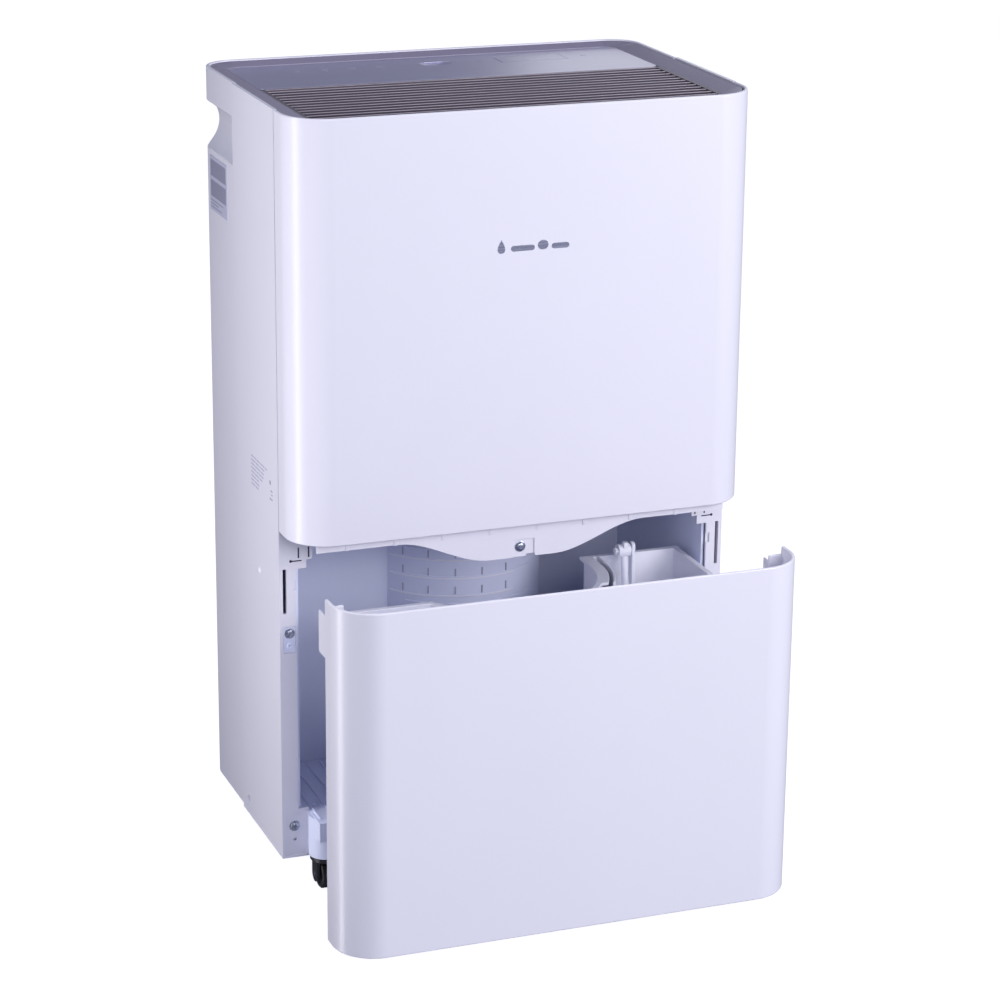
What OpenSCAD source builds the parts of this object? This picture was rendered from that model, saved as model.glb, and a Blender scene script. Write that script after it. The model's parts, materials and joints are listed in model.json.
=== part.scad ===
// Portable dehumidifier with a front water bucket, shown with the bucket partly pulled out.
// Millimetres. +X right, +Y towards the rear, +Z up. The origin is on the floor, under the middle
// of the whole object as it stands with the bucket out.
// Cabinet parts are drawn with y = 0 on the front face of the upper panel and then moved into place.

/* [Cabinet] */
// Width of the cabinet
body_w = 390; // [350:1:480]
// Depth of the cabinet
body_d = 270; // [262:1:330]
// Height from the floor to the top rim
total_h = 657; // [645:1:800]
// Thickness of the outer shells
wall = 3; // [2:0.1:3.6]
// Radius of the front vertical corners
front_r = 35; // [20:1:42]
// Radius of the rear vertical corners
rear_r = 26; // [18:1:30]
// Depth of the front panel's side returns
front_wrap = 50; // [44:1:60]
// Distance from the front to where the rear cover starts
rear_seam_y = 167; // [150:1:180]
// Height of the side panels' lower edge
side_bottom = 29; // [24:1:34]
// Height of the front panel's lower edge, the sill
sill_z = 315; // [300:1:330]
// Gap at the seams between shells
seam = 0.5; // [0.3:0.1:1]

/* [Top] */
// Height of the white rim above the grey frame's inner edge
top_drop = 5; // [3:0.5:8]
// Distance from the body's side to the frame's inner edge
frame_side = 21; // [16:1:28]
// Distance from the front to the frame's inner edge
frame_front = 17; // [12:1:24]
// Distance from the back to the frame's inner edge
frame_rear = 11; // [8:1:20]
// Depth of the outlet louvre
louvre_d = 141; // [120:1:150]
// Number of louvre slats
slat_count = 13; // [8:1:18]
// Thickness of one slat
slat_t = 2; // [1.5:0.1:3]
// Lean of the slats from upright
slat_lean = 28; // [0:1:40]
// Length of the power button
button_w = 27; // [20:1:34]
// Depth of the power button
button_d = 15; // [10:1:18]

/* [Bucket] */
// How far the bucket is pulled out
bucket_out = 118; // [0:1:200]
// Height of the bucket panel's lower edge
bucket_bottom = 11; // [8:1:20]
// Height of the bucket panel's upper edge
bucket_top = 299.5; // [280:0.5:300]
// Depth of the bucket panel's side returns
bucket_wrap = 47; // [40:1:47]
// Height of the tub's rim
tub_rim = 249; // [220:1:255]
// Thickness of the tub's walls
tub_wall = 2.2; // [1.6:0.1:3]
// Clearance between the tub and the bay
tub_clear = 5; // [4:0.5:8]
// Distance from the middle to the tub's left side
tub_left = 160; // [140:1:168]

/* [Bay] */
// Height of the base pan's floor
floor_z = 69; // [64:1:74]
// Distance from the front to the bay's shallow rear wall
bay_left_y = 152; // [140:1:158]
// Distance from the back to the bay's deep rear wall
bay_back = 34; // [30:1:40]
// Radius of the bulge that clears the compressor
bulge_r = 78; // [72:1:84]
// Distance from the back to the bulge's centre
bulge_back = 82; // [78:1:86]
// Thickness of the bay's walls
liner_t = 2.5; // [2:0.1:3.5]
// Depth of the fascia below the sill at its ends
fascia_drop = 7; // [5:0.5:10]
// Further depth of the fascia's middle lobe
fascia_lobe = 22; // [12:1:24]

/* [Compressor] */
// Radius of the compressor shell
comp_r = 52; // [40:1:54]
// Height of the compressor shell
comp_h = 180; // [140:1:200]

/* [Fan] */
// Radius of the blower wheel
blower_r = 78; // [60:1:84]
// Length of the blower wheel
blower_l = 60; // [40:1:62]
// Number of blower blades
blade_count = 32; // [20:1:44]
// Radius of the motor shaft
shaft_r = 4; // [3:0.5:6]

/* [Casters] */
// Radius of a caster wheel
wheel_r = 13; // [11:0.5:14]
// Width of a caster wheel
wheel_w = 10; // [7:0.5:12]
// Distance from a caster's stem to its axle
trail = 6; // [4:0.5:8]
// Distance from the body's side to a caster's stem
caster_inset = 35; // [32:1:45]
// Radial clearance of a running fit
running_fit = 0.05; // [0.02:0.01:0.08]

/* [Hidden] */
$fn = 48;

WHITE = [0.88, 0.88, 0.95];
TUB_WHITE = [0.80, 0.81, 0.92];
FRAME_GREY = [0.50, 0.49, 0.56];
SLAT_BRONZE = [0.36, 0.33, 0.38];
PANEL_SILVER = [0.62, 0.61, 0.70];
BLACK = [0.06, 0.06, 0.07];
STEEL = [0.72, 0.73, 0.76];
COPPER = [0.72, 0.42, 0.26];
ALUMINIUM = [0.80, 0.82, 0.85];
BOARD_GREEN = [0.10, 0.35, 0.20];

half_w = body_w / 2;
front_y = -(body_d - bucket_out) / 2;
side_y = front_wrap + seam;
rear_step = 1.5;
top_z = total_h;
over = 1;

// Top deck
frame_gap = 0.2;
frame_h = 16;
frame_plate = 2.5;
deck_z = top_z - top_drop;
deck_half = half_w - frame_side;
deck_front = frame_front;
deck_rear = body_d - frame_rear;
deck_gap = 0.3;
louvre_h = 9;
louvre_rim = 3;
louvre_end = deck_front + louvre_d;
panel_t = 3;
button_y = 227;
ledge_w = 4;
deck_corner = 7;
window_x = [55, 115];
window_d = 24;
window_t = 1.2;

// Front openings
flange_in = 14;
flange_t = 3;
flange_top = sill_z - 3;
bracket_in = 23;
bracket_h = 43;
bracket_recess = 1;
lug_low = 246;
lug_high = 281;
lug_reach = 28;
lug_t = 1.6;
lug_gap = 0.6;
lug_room = 0.8;
lug_end = 1.5;
clip_wide = 14;
clip_narrow = 9;
clip_high = 22.5;
clip_low = 30;
notch_z = [264.5, 273];
notch_w = 3;
notch_d = 1.5;
peg_x = half_w - 11;
peg_z = 45;
peg_r = 1.5;
fixing_y = 149.5;
fixing_z = 42;
fixing_r = 4;
fascia_y = 8;
fascia_t = 3;
fascia_top = 345;
fascia_x = half_w - 19;
lip_half = half_w - front_r - 2;
lobe_x = -2;
lobe_flat = 28;
lobe_flank = 78;

// Bay
bay_half = half_w - flange_in - liner_t - 0.5;
bay_front = side_y + flange_t + 0.5;
bay_back_y = body_d - bay_back;
bay_top = sill_z + 20;
bulge_y = body_d - bulge_back;
pocket_x = 50;

// Base pan
base_t = 3;
base_half = half_w - rear_step - wall - seam;
base_rear = body_d - wall - seam;
base_nose = 22;
nose_low = 52;
rail_h = 5.5;
rail_w = 4;
rail_x = 120;
rib_pitch = 12;
rib_w = 2;
rib_h = 1.5;
housing_r = 14.5;
housing_low = wheel_r * 2 + 7;
stem_bore_top = housing_low + 22;

// Upper compartment
tray_z = bay_top + 5;
tray_half = half_w - 35;
tray_rear = body_d - 42;
coil_low = tray_z + 6;
coil_high = top_z - 45;
coil_half = half_w - 55;
evap_y = tray_rear - 40;
evap_d = 34;
cond_y = evap_y - 38;
cond_d = 32;
tube_r = 4;
fan_z = (tray_z + top_z) / 2 + 6;
volute_step = 8;
volute_r = blower_r + 14;
scroll_y = 42;
scroll_d = 73;
scroll_top = deck_z - louvre_h - 4;
motor_r = 42;
motor_d = 32;

// Compressor
comp_x = 0;
comp_y = bulge_y + 8;
comp_low = floor_z + 8;
accu = [45, bulge_y + 61];
drier = [-45, bulge_y + 61];

// Electrics
elec = [20, 16, tray_z + 3];
elec_size = [140, 96, 40];
sensor_z = 520;

// Rating label: its places from front to rear and below the top, and its thickness
label_y = [190, 240];
label_drop = [118, 72];
label_t = 0.4;

// Rear
window_half = half_w - 45;
window_low = tray_z + 8;
window_high = top_z - 42;
window_gap = 0.5;
scoop_r = 20;
scoop_z = top_z - 48;
scoop_out = 4;
scoop_front = rear_seam_y + 5;
scoop_wall = 2.5;
spout_x = 150;
spout_y = tray_rear - 35;
drain_x = 125;
drain_z = 140;
drain_r = 8;
drain_len = 14;
recess_r = 27;
recess_d = 17;
gland_x = -130;
gland_z = 100;
gland_r = 8;
rear_screw_x = half_w - 28;

// Bucket
tub_front = wall;
tub_low = floor_z + rail_h + 0.5;
tub_floor_t = 2.5;
rim_w = 3;
rim_t = 3;
tub_short = 20;
tub_right = bay_half - tub_clear - rim_w;
tub_back = bay_left_y - tub_clear - rim_w;
tub_deep = bay_back_y - tub_clear - rim_w - tub_short;
tub_bulge = bulge_r + tub_clear + rim_w;
band_w = 7.5;
band_t = 2.5;
guide_gap = 11;
guide_t = 2;
guide_front = 64;
float_x = tub_right - 55;
float_y = tub_deep - 18;
float_z = tub_rim + 9;
pin_r = 2.5;
float_size = [17, 40, 26];
float_left = 13.5;
float_back = 8;
float_drop = 52;

caster_x = half_w - caster_inset;
caster_front_y = 42;
caster_rear_y = body_d - 38;
stem_r = 5;
axle_r = 2;
cheek_t = 3;
cheek_gap = 0.5;
fork_top = wheel_r * 2 + 6;

screw_head_r = 4.6;
screw_head_h = 2.2;
screw_shank_r = 2;
screw_shank = 9;

// Screws on the side flanges: height and distance from the body's side
flange_screws = [[227, 8.5], [57, 11]];
fascia_screw = [-3.5, 295];
clip_plate = [-10, 284, 18.5, 17];
rear_screw_z = [92, 300];

module cabinet() translate([0, front_y, 0]) children();
module drawer() translate([0, front_y - bucket_out, 0]) children();

module box(low, high) translate(low) cube(high - low);

// A rounded rectangle in plan, with its own radius at the front and at the rear
module plan(half, y0, y1, rf, rr) {
    translate([-half, y0 + rf]) square([2 * half, y1 - y0 - rf - rr]);
    translate([-half + rf, y0]) square([2 * (half - rf), rf + 0.01]);
    translate([-half + rr, y1 - rr - 0.01]) square([2 * (half - rr), rr + 0.01]);
    for (s = [-1, 1]) {
        translate([s * (half - rf), y0 + rf]) circle(rf);
        translate([s * (half - rr), y1 - rr]) circle(rr);
    }
}

// The outer skin in plan, between two distances from the front
module skin(half, t, y0, y1) {
    intersection() {
        difference() {
            plan(half, 0, body_d, front_r, rear_r);
            plan(half - t, t, body_d - t, front_r - t, rear_r - t);
        }
        translate([-body_w, y0]) square([2 * body_w, y1 - y0]);
    }
}

// A straight round bar between two points
module rod(a, b, r) {
    d = b - a;
    translate(a) rotate([0, acos(d[2] / norm(d)), atan2(d[1], d[0])]) cylinder(h = norm(d), r = r);
}

// A bent tube through a list of points, with a ball at each bend
module pipe(points, r) {
    for (i = [0:len(points) - 2]) rod(points[i], points[i + 1], r);
    for (i = [1:len(points) - 2]) translate(points[i]) sphere(r + 0.3, $fn = 32);
}

module along_y(y0, y1) translate([0, y1, 0]) rotate([90, 0, 0]) linear_extrude(y1 - y0) children();

// ---------- Outer shells ----------

module front_panel() color(WHITE) cabinet() {
    translate([0, 0, sill_z]) linear_extrude(top_z - sill_z) skin(half_w, wall, 0, front_wrap);
    // Stiffening lip along the sill
    translate([0, 0, sill_z]) linear_extrude(frame_plate) intersection() {
        difference() {
            plan(half_w - wall, wall, body_d, front_r - wall, rear_r);
            plan(half_w - fascia_y, fascia_y, body_d + over, front_r - fascia_y, rear_r);
        }
        translate([-lip_half, 0]) square([2 * lip_half, front_wrap]);
    }
}

module side_panel(s) color(WHITE) cabinet() difference() {
    union() {
        translate([0, 0, side_bottom]) linear_extrude(top_z - side_bottom) intersection() {
            skin(half_w, wall, side_y, rear_seam_y - seam);
            translate([s > 0 ? 0 : -body_w, 0]) square([body_w, body_d]);
        }
        mirror([s > 0 ? 0 : 1, 0, 0]) {
            box([half_w - flange_in, side_y, side_bottom],
                [half_w - wall + 0.01, side_y + flange_t, flange_top]);
            box([half_w - bracket_in, side_y, side_bottom],
                [half_w - wall, side_y + flange_t, side_bottom + bracket_h]);
            // Stepped clip under the sill: a wide block with a narrow one below it
            box([half_w - flange_in - clip_wide, side_y, flange_top - clip_high],
                [half_w - flange_in + 0.01, side_y + flange_t, flange_top]);
            box([half_w - flange_in - clip_narrow, side_y, flange_top - clip_low],
                [half_w - flange_in + 0.01, side_y + flange_t, flange_top - clip_high + 0.01]);
        }
    }
    mirror([s > 0 ? 0 : 1, 0, 0]) {
        // Recessed pad of the lower bracket
        box([half_w - bracket_in + 2, side_y - over, side_bottom + 2],
            [half_w - 2, side_y + bracket_recess, side_bottom + bracket_h - 3]);
        // Pad under the upper screw
        box([half_w - flange_in + 0.6, side_y - over, flange_screws[0][0] - 17],
            [half_w - wall, side_y + bracket_recess, flange_screws[0][0] + 6]);
        // Slot for the bucket's lug
        box([half_w - wall - lug_gap - lug_t - lug_room, side_y - over, lug_low - lug_end],
            [half_w - wall, side_y + flange_t + over, lug_high + lug_end]);
        // Notch at the flange's inner edge
        box([half_w - flange_in - over, side_y - over, notch_z[0]],
            [half_w - flange_in + notch_w, side_y + notch_d, notch_z[1]]);
        for (p = flange_screws)
            rod([half_w - p[1], side_y - over, p[0]], [half_w - p[1], side_y + 10, p[0]],
                screw_shank_r + 0.2);
        // Peg hole under the lower screw
        rod([peg_x, side_y - over, peg_z], [peg_x, side_y + 10, peg_z], peg_r);
    }
    // Fixing hole low on the side
    rod([s * (half_w - 10), fixing_y, fixing_z], [s * (half_w + over), fixing_y, fixing_z], fixing_r);
}

module rear_cover() color(WHITE) cabinet() difference() {
    union() {
        difference() {
            translate([0, 0, side_bottom]) linear_extrude(top_z - side_bottom)
                skin(half_w - rear_step, wall, rear_seam_y, body_d);
            for (s = [-1, 1]) scoop(s, scoop_r, 0);
        }
        for (s = [-1, 1]) intersection() {
            difference() {
                scoop(s, scoop_r + scoop_wall, scoop_wall);
                scoop(s, scoop_r, 0);
            }
            translate([0, 0, side_bottom]) linear_extrude(top_z)
                plan(half_w - rear_step, 0, body_d, front_r, rear_r);
        }
        // Bosses that take the rear screws
        for (s = [-1, 1], z = rear_screw_z)
            rod([s * rear_screw_x, body_d - 12, z], [s * rear_screw_x, body_d - wall + 0.01, z], 7);
        // Cup round the drain outlet
        rod([drain_x, body_d - recess_d - 2.5, drain_z], [drain_x, body_d - 1, drain_z], recess_r + 2.5);
    }
    // Intake window
    box([-window_half, body_d - wall - over, window_low], [window_half, body_d + over, window_high]);
    rod([drain_x, body_d - recess_d, drain_z], [drain_x, body_d + over, drain_z], recess_r);
    rod([drain_x, body_d - 40, drain_z], [drain_x, body_d - 10, drain_z], drain_r + 1.8);
    rod([gland_x, body_d - 20, gland_z], [gland_x, body_d + over, gland_z], gland_r + 0.3);
    for (s = [-1, 1], z = rear_screw_z) {
        rod([s * rear_screw_x, body_d - 5, z], [s * rear_screw_x, body_d + over, z], screw_head_r + 0.4);
        rod([s * rear_screw_x, body_d - 20, z], [s * rear_screw_x, body_d, z], screw_shank_r + 0.2);
    }
}

// The hand recess at a rear corner: a round channel that runs out at the back
module scoop(s, r, ahead) {
    x = s * (half_w - rear_step + scoop_out);
    rod([x, scoop_front - ahead, scoop_z], [x, body_d + over, scoop_z], r);
}

// ---------- Top deck ----------

module deck_plan(grow) {
    plan(deck_half + grow, deck_front - grow, deck_rear + grow, 14, 12);
}

module frame_plan(inset) {
    plan(half_w - rear_step - wall - frame_gap - inset, wall + frame_gap + inset,
        body_d - wall - frame_gap - inset, front_r - wall - inset, rear_r - wall - inset);
}

module top_frame() color(FRAME_GREY) cabinet() {
    outer_z = top_z - 1;
    difference() {
        translate([0, 0, outer_z - frame_h + 1]) linear_extrude(frame_h - 1) frame_plan(0);
        // Sloping top
        hull() {
            translate([0, 0, outer_z + 0.01]) linear_extrude(0.1) frame_plan(0.6);
            translate([0, 0, deck_z - 0.1]) linear_extrude(0.1) deck_plan(-0.4);
        }
        // Hollow underside
        difference() {
            translate([0, 0, top_z - 40]) linear_extrude(40 - top_drop - frame_plate - 1)
                frame_plan(frame_plate);
            translate([0, 0, top_z - 41]) linear_extrude(42) deck_plan(2);
        }
        // Opening, with a ledge below that carries the deck
        translate([0, 0, deck_z - louvre_h - 0.5]) linear_extrude(40) deck_plan(0);
        translate([0, 0, top_z - 41]) linear_extrude(60) deck_plan(-ledge_w);
    }
}

module louvre_plan(inset) {
    plan(deck_half - deck_gap - inset, deck_front + deck_gap + inset,
        louvre_end - deck_gap - inset, 13.5 - inset, deck_corner - inset);
}

module outlet_louvre() color(SLAT_BRONZE) cabinet() {
    low = deck_z - louvre_h;
    translate([0, 0, low]) linear_extrude(louvre_h) difference() {
        louvre_plan(0);
        louvre_plan(louvre_rim);
    }
    pitch = (louvre_d - 2 * louvre_rim) / slat_count;
    intersection() {
        union() {
            for (i = [0:slat_count - 1])
                translate([-deck_half, deck_front + louvre_rim + pitch * (i + 0.5), low + louvre_h / 2])
                    rotate([slat_lean, 0, 0]) translate([0, -slat_t / 2, -louvre_h * 0.62])
                        cube([2 * deck_half, slat_t, louvre_h * 1.24]);
            // Cross ribs under the slats
            for (x = [-deck_half / 2, 0, deck_half / 2])
                box([x - 1, deck_front, low], [x + 1, louvre_end, low + 3]);
        }
        translate([0, 0, low]) linear_extrude(louvre_h) louvre_plan(1);
    }
}

module button_plan(grow) {
    r = button_d / 2 + grow;
    run = button_w / 2 - button_d / 2;
    translate([-run, -r]) square([2 * run, 2 * r]);
    for (s = [-1, 1]) translate([s * run, 0]) circle(r);
}

module control_panel() color(PANEL_SILVER) cabinet() difference() {
    union() {
        translate([0, 0, deck_z - panel_t]) linear_extrude(panel_t)
            plan(deck_half - deck_gap, louvre_end + deck_gap, deck_rear - deck_gap, deck_corner,
                12 - deck_gap);
        // Feet on the ledge
        for (s = [-1, 1]) box([s * (deck_half - 3) - 2, louvre_end + 8, deck_z - louvre_h - 0.5],
            [s * (deck_half - 3) + 2, deck_rear - 14, deck_z - panel_t]);
    }
    translate([0, button_y, deck_z - 20]) linear_extrude(40) button_plan(0.35);
    // Seat of the display window
    box([window_x[0], button_y - window_d / 2, deck_z - window_t],
        [window_x[1], button_y + window_d / 2, deck_z + over]);
}

module power_button() color(PANEL_SILVER) cabinet() difference() {
    translate([0, button_y, deck_z - 6]) linear_extrude(6) button_plan(0);
    // Finger dish
    translate([0, button_y, deck_z + 58.4]) sphere(60, $fn = 96);
}

module display_window() color(BLACK) cabinet()
    box([window_x[0] + 0.2, button_y - window_d / 2 + 0.2, deck_z - window_t],
        [window_x[1] - 0.2, button_y + window_d / 2 - 0.2, deck_z]);

module control_board() color(BOARD_GREEN) cabinet() {
    low = deck_z - louvre_h - 2;
    difference() {
        box([-125, louvre_end + 12, low], [125, deck_rear - 16, low + 1.6]);
        for (s = [-1, 1]) rod([s * 115, louvre_end + 20, low - 1], [s * 115, louvre_end + 20, low + 5], 1.8);
    }
    // Tactile switch under the button, and the chips
    box([-4, button_y - 4, low + 1.6], [4, button_y + 4, low + 3.5]);
    for (x = [-90, -60, 45]) box([x, button_y - 8, low - 2], [x + 16, button_y + 8, low]);
}

// ---------- Front opening ----------

// Depth of the fascia's edge below the sill at a distance across
function ease(u) = u * u * (3 - 2 * u);
function edge_drop(x) = fascia_drop
    + fascia_lobe * (1 - ease(min(1, max(0, (abs(x - lobe_x) - lobe_flat) / lobe_flank))));

module fascia() color(WHITE) cabinet() {
    flanks = [for (s = [-1, 1], i = [0:14]) lobe_x + s * (s < 0 ? lobe_flat + lobe_flank * (14 - i) / 14
        : lobe_flat + lobe_flank * i / 14)];
    edge = [for (x = flanks) [x, sill_z - edge_drop(x)]];
    difference() {
        union() {
            along_y(fascia_y, fascia_y + fascia_t) polygon(concat([[-fascia_x, fascia_top],
                [-fascia_x, sill_z - fascia_drop]], edge,
                [[fascia_x, sill_z - fascia_drop], [fascia_x, fascia_top]]));
            // Shelf back to the bay
            box([-fascia_x, fascia_y + fascia_t, bay_top + liner_t],
                [fascia_x, bay_front + 1, bay_top + 2 * liner_t]);
            // Boss behind the screw
            rod([fascia_screw[0], fascia_y + 1, fascia_screw[1]],
                [fascia_screw[0], fascia_y + 10, fascia_screw[1]], 5.5);
        }
        // Recessed clip plate
        translate([clip_plate[0], fascia_y - over, clip_plate[1]])
            cube([clip_plate[2], over + 1.2, clip_plate[3]]);
        rod([fascia_screw[0], fascia_y - over, fascia_screw[1]],
            [fascia_screw[0], fascia_y + 20, fascia_screw[1]], screw_shank_r + 0.2);
        // Notch under the plate
        box([2, fascia_y - over, sill_z - 40], [9, fascia_y + 5, clip_plate[1] + 4]);
    }
}

// Plan of the bay's free space, grown by a wall's thickness
module bay_plan(grow) {
    difference() {
        union() {
            translate([-bay_half - grow, bay_front]) square([2 * (bay_half + grow),
                bay_left_y - bay_front + grow]);
            translate([pocket_x, bay_front]) square([bay_half - pocket_x + grow,
                bay_back_y - bay_front + grow]);
        }
        translate([0, bulge_y]) circle(bulge_r - grow);
        translate([-bulge_r + grow, bulge_y]) square([2 * (bulge_r - grow), body_d]);
    }
}

module bay_liner() color(TUB_WHITE) cabinet() difference() {
    union() {
        translate([0, 0, floor_z]) linear_extrude(bay_top - floor_z) difference() {
            bay_plan(liner_t);
            bay_plan(0);
            translate([-body_w, 0]) square([2 * body_w, bay_front + 0.01]);
        }
        translate([0, 0, bay_top]) linear_extrude(liner_t) bay_plan(liner_t);
        // Raised bands on the bulge
        for (z = [floor_z + 70:24:bay_top - 30]) translate([0, 0, z]) linear_extrude(1.6)
            intersection() {
                translate([0, bulge_y]) difference() { circle(bulge_r + 0.8); circle(bulge_r - 1); }
                translate([-bulge_r * 0.75, bay_front]) square([bulge_r * 1.4, bay_left_y - bay_front - 12]);
            }
    }
    // Way through for the tray's spout
    translate([spout_x, spout_y, bay_top - over]) cylinder(h = 10, r = 7);
}

module base_plan(inset) {
    nose_half = half_w - bracket_in - 0.5 - inset;
    plan(base_half - inset, bay_front + inset, base_rear - inset, 4, rear_r - wall - seam - inset);
    translate([-nose_half, base_nose + inset]) square([2 * nose_half, bay_front]);
}

module base_pan() color(WHITE) cabinet() {
    skirt_low = side_bottom + 1;
    difference() {
        union() {
            translate([0, 0, floor_z - base_t]) linear_extrude(base_t) base_plan(0);
            translate([0, 0, skirt_low]) linear_extrude(floor_z - skirt_low) difference() {
                base_plan(0);
                base_plan(base_t);
            }
            for (s = [-1, 1], y = [caster_front_y, caster_rear_y])
                translate([s * caster_x, y, housing_low])
                    cylinder(h = floor_z - housing_low - 0.5, r = housing_r);
            // Ribs on the floor, and the rails that the bucket rides on
            for (x = [-bay_half + 10:rib_pitch:bay_half - 10])
                box([x - rib_w / 2, base_nose + 8, floor_z - 0.01],
                    [x + rib_w / 2, bay_left_y - bulge_r * (abs(x) < bulge_r + 6 ? 0.62 : 0) - 4,
                    floor_z + rib_h]);
            for (s = [-1, 1]) box([s * rail_x - rail_w / 2, base_nose + 4, floor_z - 0.01],
                [s * rail_x + rail_w / 2, bay_left_y - 4, floor_z + rail_h]);
        }
        for (s = [-1, 1], y = [caster_front_y, caster_rear_y])
            translate([s * caster_x, y, housing_low - over])
                cylinder(h = stem_bore_top - housing_low + over, r = stem_r + running_fit);
        // The nose's skirt stops above the caster housings
        difference() {
            box([-half_w, base_nose - over, side_bottom], [half_w, bay_front - 0.5, nose_low]);
            for (s = [-1, 1]) translate([s * caster_x, caster_front_y, side_bottom - over])
                cylinder(h = nose_low, r = housing_r);
        }
        // Room for the casters to turn
        for (s = [-1, 1], y = [caster_front_y, caster_rear_y])
            translate([s * caster_x, y, 0]) cylinder(h = housing_low, r = trail + wheel_r + 4);
        for (s = [-1, 1]) rod([s * (half_w - flange_screws[1][1]), bay_front - over, flange_screws[1][0]],
            [s * (half_w - flange_screws[1][1]), bay_front + 12, flange_screws[1][0]], screw_shank_r + 0.2);
        // Water hole beside the left rail
        translate([-bay_half + 16, base_nose + 40, floor_z - 10]) cylinder(h = 20, r = 3);
    }
}

// ---------- Refrigeration ----------

module drip_tray() color(TUB_WHITE) cabinet() {
    y0 = cond_y - 6;
    t = 2;
    difference() {
        union() {
            box([-tray_half, y0, tray_z], [tray_half, tray_rear, coil_low + 10]);
            translate([spout_x, spout_y, bay_top - 30]) cylinder(h = 36, r = 6.5);
        }
        box([-tray_half + t, y0 + t, tray_z + t], [tray_half - t, tray_rear - t, coil_low + 20]);
        translate([spout_x, spout_y, bay_top - 40]) cylinder(h = 60, r = 5);
    }
    // Props under the coils
    for (x = [-coil_half + 20, 0, coil_half - 20])
        box([x - 2, y0 + t, tray_z + t], [x + 2, tray_rear - t, coil_low]);
}

// A finned coil: end plates, the fin pack, and rows of return bends at both ends
module coil(y0, d, rows) {
    pitch = (coil_high - coil_low) / rows;
    box([-coil_half + 2, y0, coil_low], [coil_half - 2, y0 + d, coil_high]);
    for (s = [-1, 1]) {
        box([s * (coil_half - 1) - 1, y0 - 1, coil_low], [s * (coil_half - 1) + 1, y0 + d + 1, coil_high]);
        for (i = [0:rows - 1])
            translate([s * coil_half, y0 + d / 2, coil_low + pitch * (i + 0.5)])
                rotate([90, 0, 0]) rotate([0, 0, s > 0 ? -90 : 90])
                    rotate_extrude(angle = 180) translate([pitch / 4, 0]) circle(tube_r);
    }
}

module evaporator() color(ALUMINIUM) cabinet() coil(evap_y, evap_d, 9);
module condenser() color(COPPER) cabinet() coil(cond_y, cond_d, 9);

module compressor() color(BLACK) cabinet() {
    dome = 26;
    translate([comp_x, comp_y, comp_low]) {
        cylinder(h = comp_h - dome, r = comp_r);
        translate([0, 0, comp_h - dome]) intersection() {
            translate([0, 0, -comp_r * 0.55]) sphere(comp_r * 1.1415, $fn = 64);
            cylinder(h = dome + 4, r = comp_r);
        }
        // Terminal cover
        translate([-comp_r - 3, -14, comp_h * 0.5]) cube([14, 28, 34]);
        // Foot plate
        for (a = [30, 150, 270]) rotate([0, 0, a]) difference() {
            translate([0, -12, 0]) cube([comp_r + 16, 24, 4]);
            translate([comp_r + 8, 0, -over]) cylinder(h = 8, r = 5.2);
        }
    }
}

module compressor_feet() color(BLACK) cabinet()
    for (a = [30, 150, 270]) translate([comp_x, comp_y, floor_z]) rotate([0, 0, a])
        translate([comp_r + 8, 0, 0]) {
            cylinder(h = 8, r = 7.5);
            cylinder(h = 14, r = 5);
        }

module accumulator() color(BLACK) cabinet() translate([accu[0], accu[1], floor_z + 50]) {
    cylinder(h = 100, r = 13);
    translate([0, 0, 100]) sphere(13, $fn = 40);
    translate([0, 0, 0]) sphere(13, $fn = 40);
    // Strap to the compressor's shell
    d = [comp_x - accu[0], comp_y - accu[1]];
    rod([0, 0, 50], [d[0] * 0.24, d[1] * 0.24, 50], 4);
}

module refrigerant_pipes() color(COPPER) cabinet() {
    top = comp_low + comp_h;
    up = coil_low + 60;
    // Suction: evaporator to accumulator
    pipe([[accu[0], accu[1], floor_z + 163.1], [accu[0], accu[1], up], [accu[0], evap_y + evap_d, up]], 4.5);
    // Discharge: compressor to condenser, in front of the tray
    pipe([[-15, comp_y, top + 3.2], [-15, comp_y, top + 22], [-15, cond_y - 14, top + 22],
        [-15, cond_y - 14, up], [-15, cond_y, up]], 3.5);
    // Liquid line down from the evaporator to the drier
    pipe([[drier[0], drier[1], floor_z + 155], [drier[0], drier[1], up], [drier[0], evap_y + evap_d, up]], 3);
}

module filter_drier() color(COPPER) cabinet() translate([drier[0], drier[1], floor_z + 70]) {
    cylinder(h = 70, r = 9);
    translate([0, 0, 70]) cylinder(h = 15, r1 = 9, r2 = 3);
    translate([0, 0, -12]) cylinder(h = 12, r1 = 3, r2 = 9);
}

// ---------- Air path ----------

// A four-centre volute with a flared outlet. The thickness is taken off all round.
module volute(t) {
    s = volute_step;
    r = volute_r;
    centres = [[-s / 2, s / 2], [-s / 2, -s / 2], [s / 2, -s / 2], [s / 2, s / 2]];
    square(s, center = true);
    for (k = [0:3]) translate(centres[k]) rotate(90 * k) intersection() {
        circle(r + k * s - t, $fn = 96);
        translate([-0.01, -0.01]) square(2 * r);
    }
    rise = scroll_top - fan_z;
    right = s / 2 + r + 3 * s - t;
    polygon([[0, s / 2], [right, s / 2], [deck_half - 24 - t, rise + (t > 0 ? over : 0)],
        [-deck_half + 24 + t, rise + (t > 0 ? over : 0)], [-(r - t) * 0.88, (r - t) * 0.47]]);
}

module at_fan() translate([0, 0, fan_z]) children();

module fan_scroll() color(TUB_WHITE) cabinet() at_fan() difference() {
    along_y(scroll_y, scroll_y + scroll_d) volute(0);
    along_y(scroll_y + liner_t, scroll_y + scroll_d - liner_t) volute(liner_t);
    // Inlet at the rear, shaft hole at the front
    rod([0, scroll_y + scroll_d - 10, 0], [0, scroll_y + scroll_d + over, 0], blower_r - 4);
    rod([0, scroll_y - over, 0], [0, scroll_y + 10, 0], 12);
}

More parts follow.
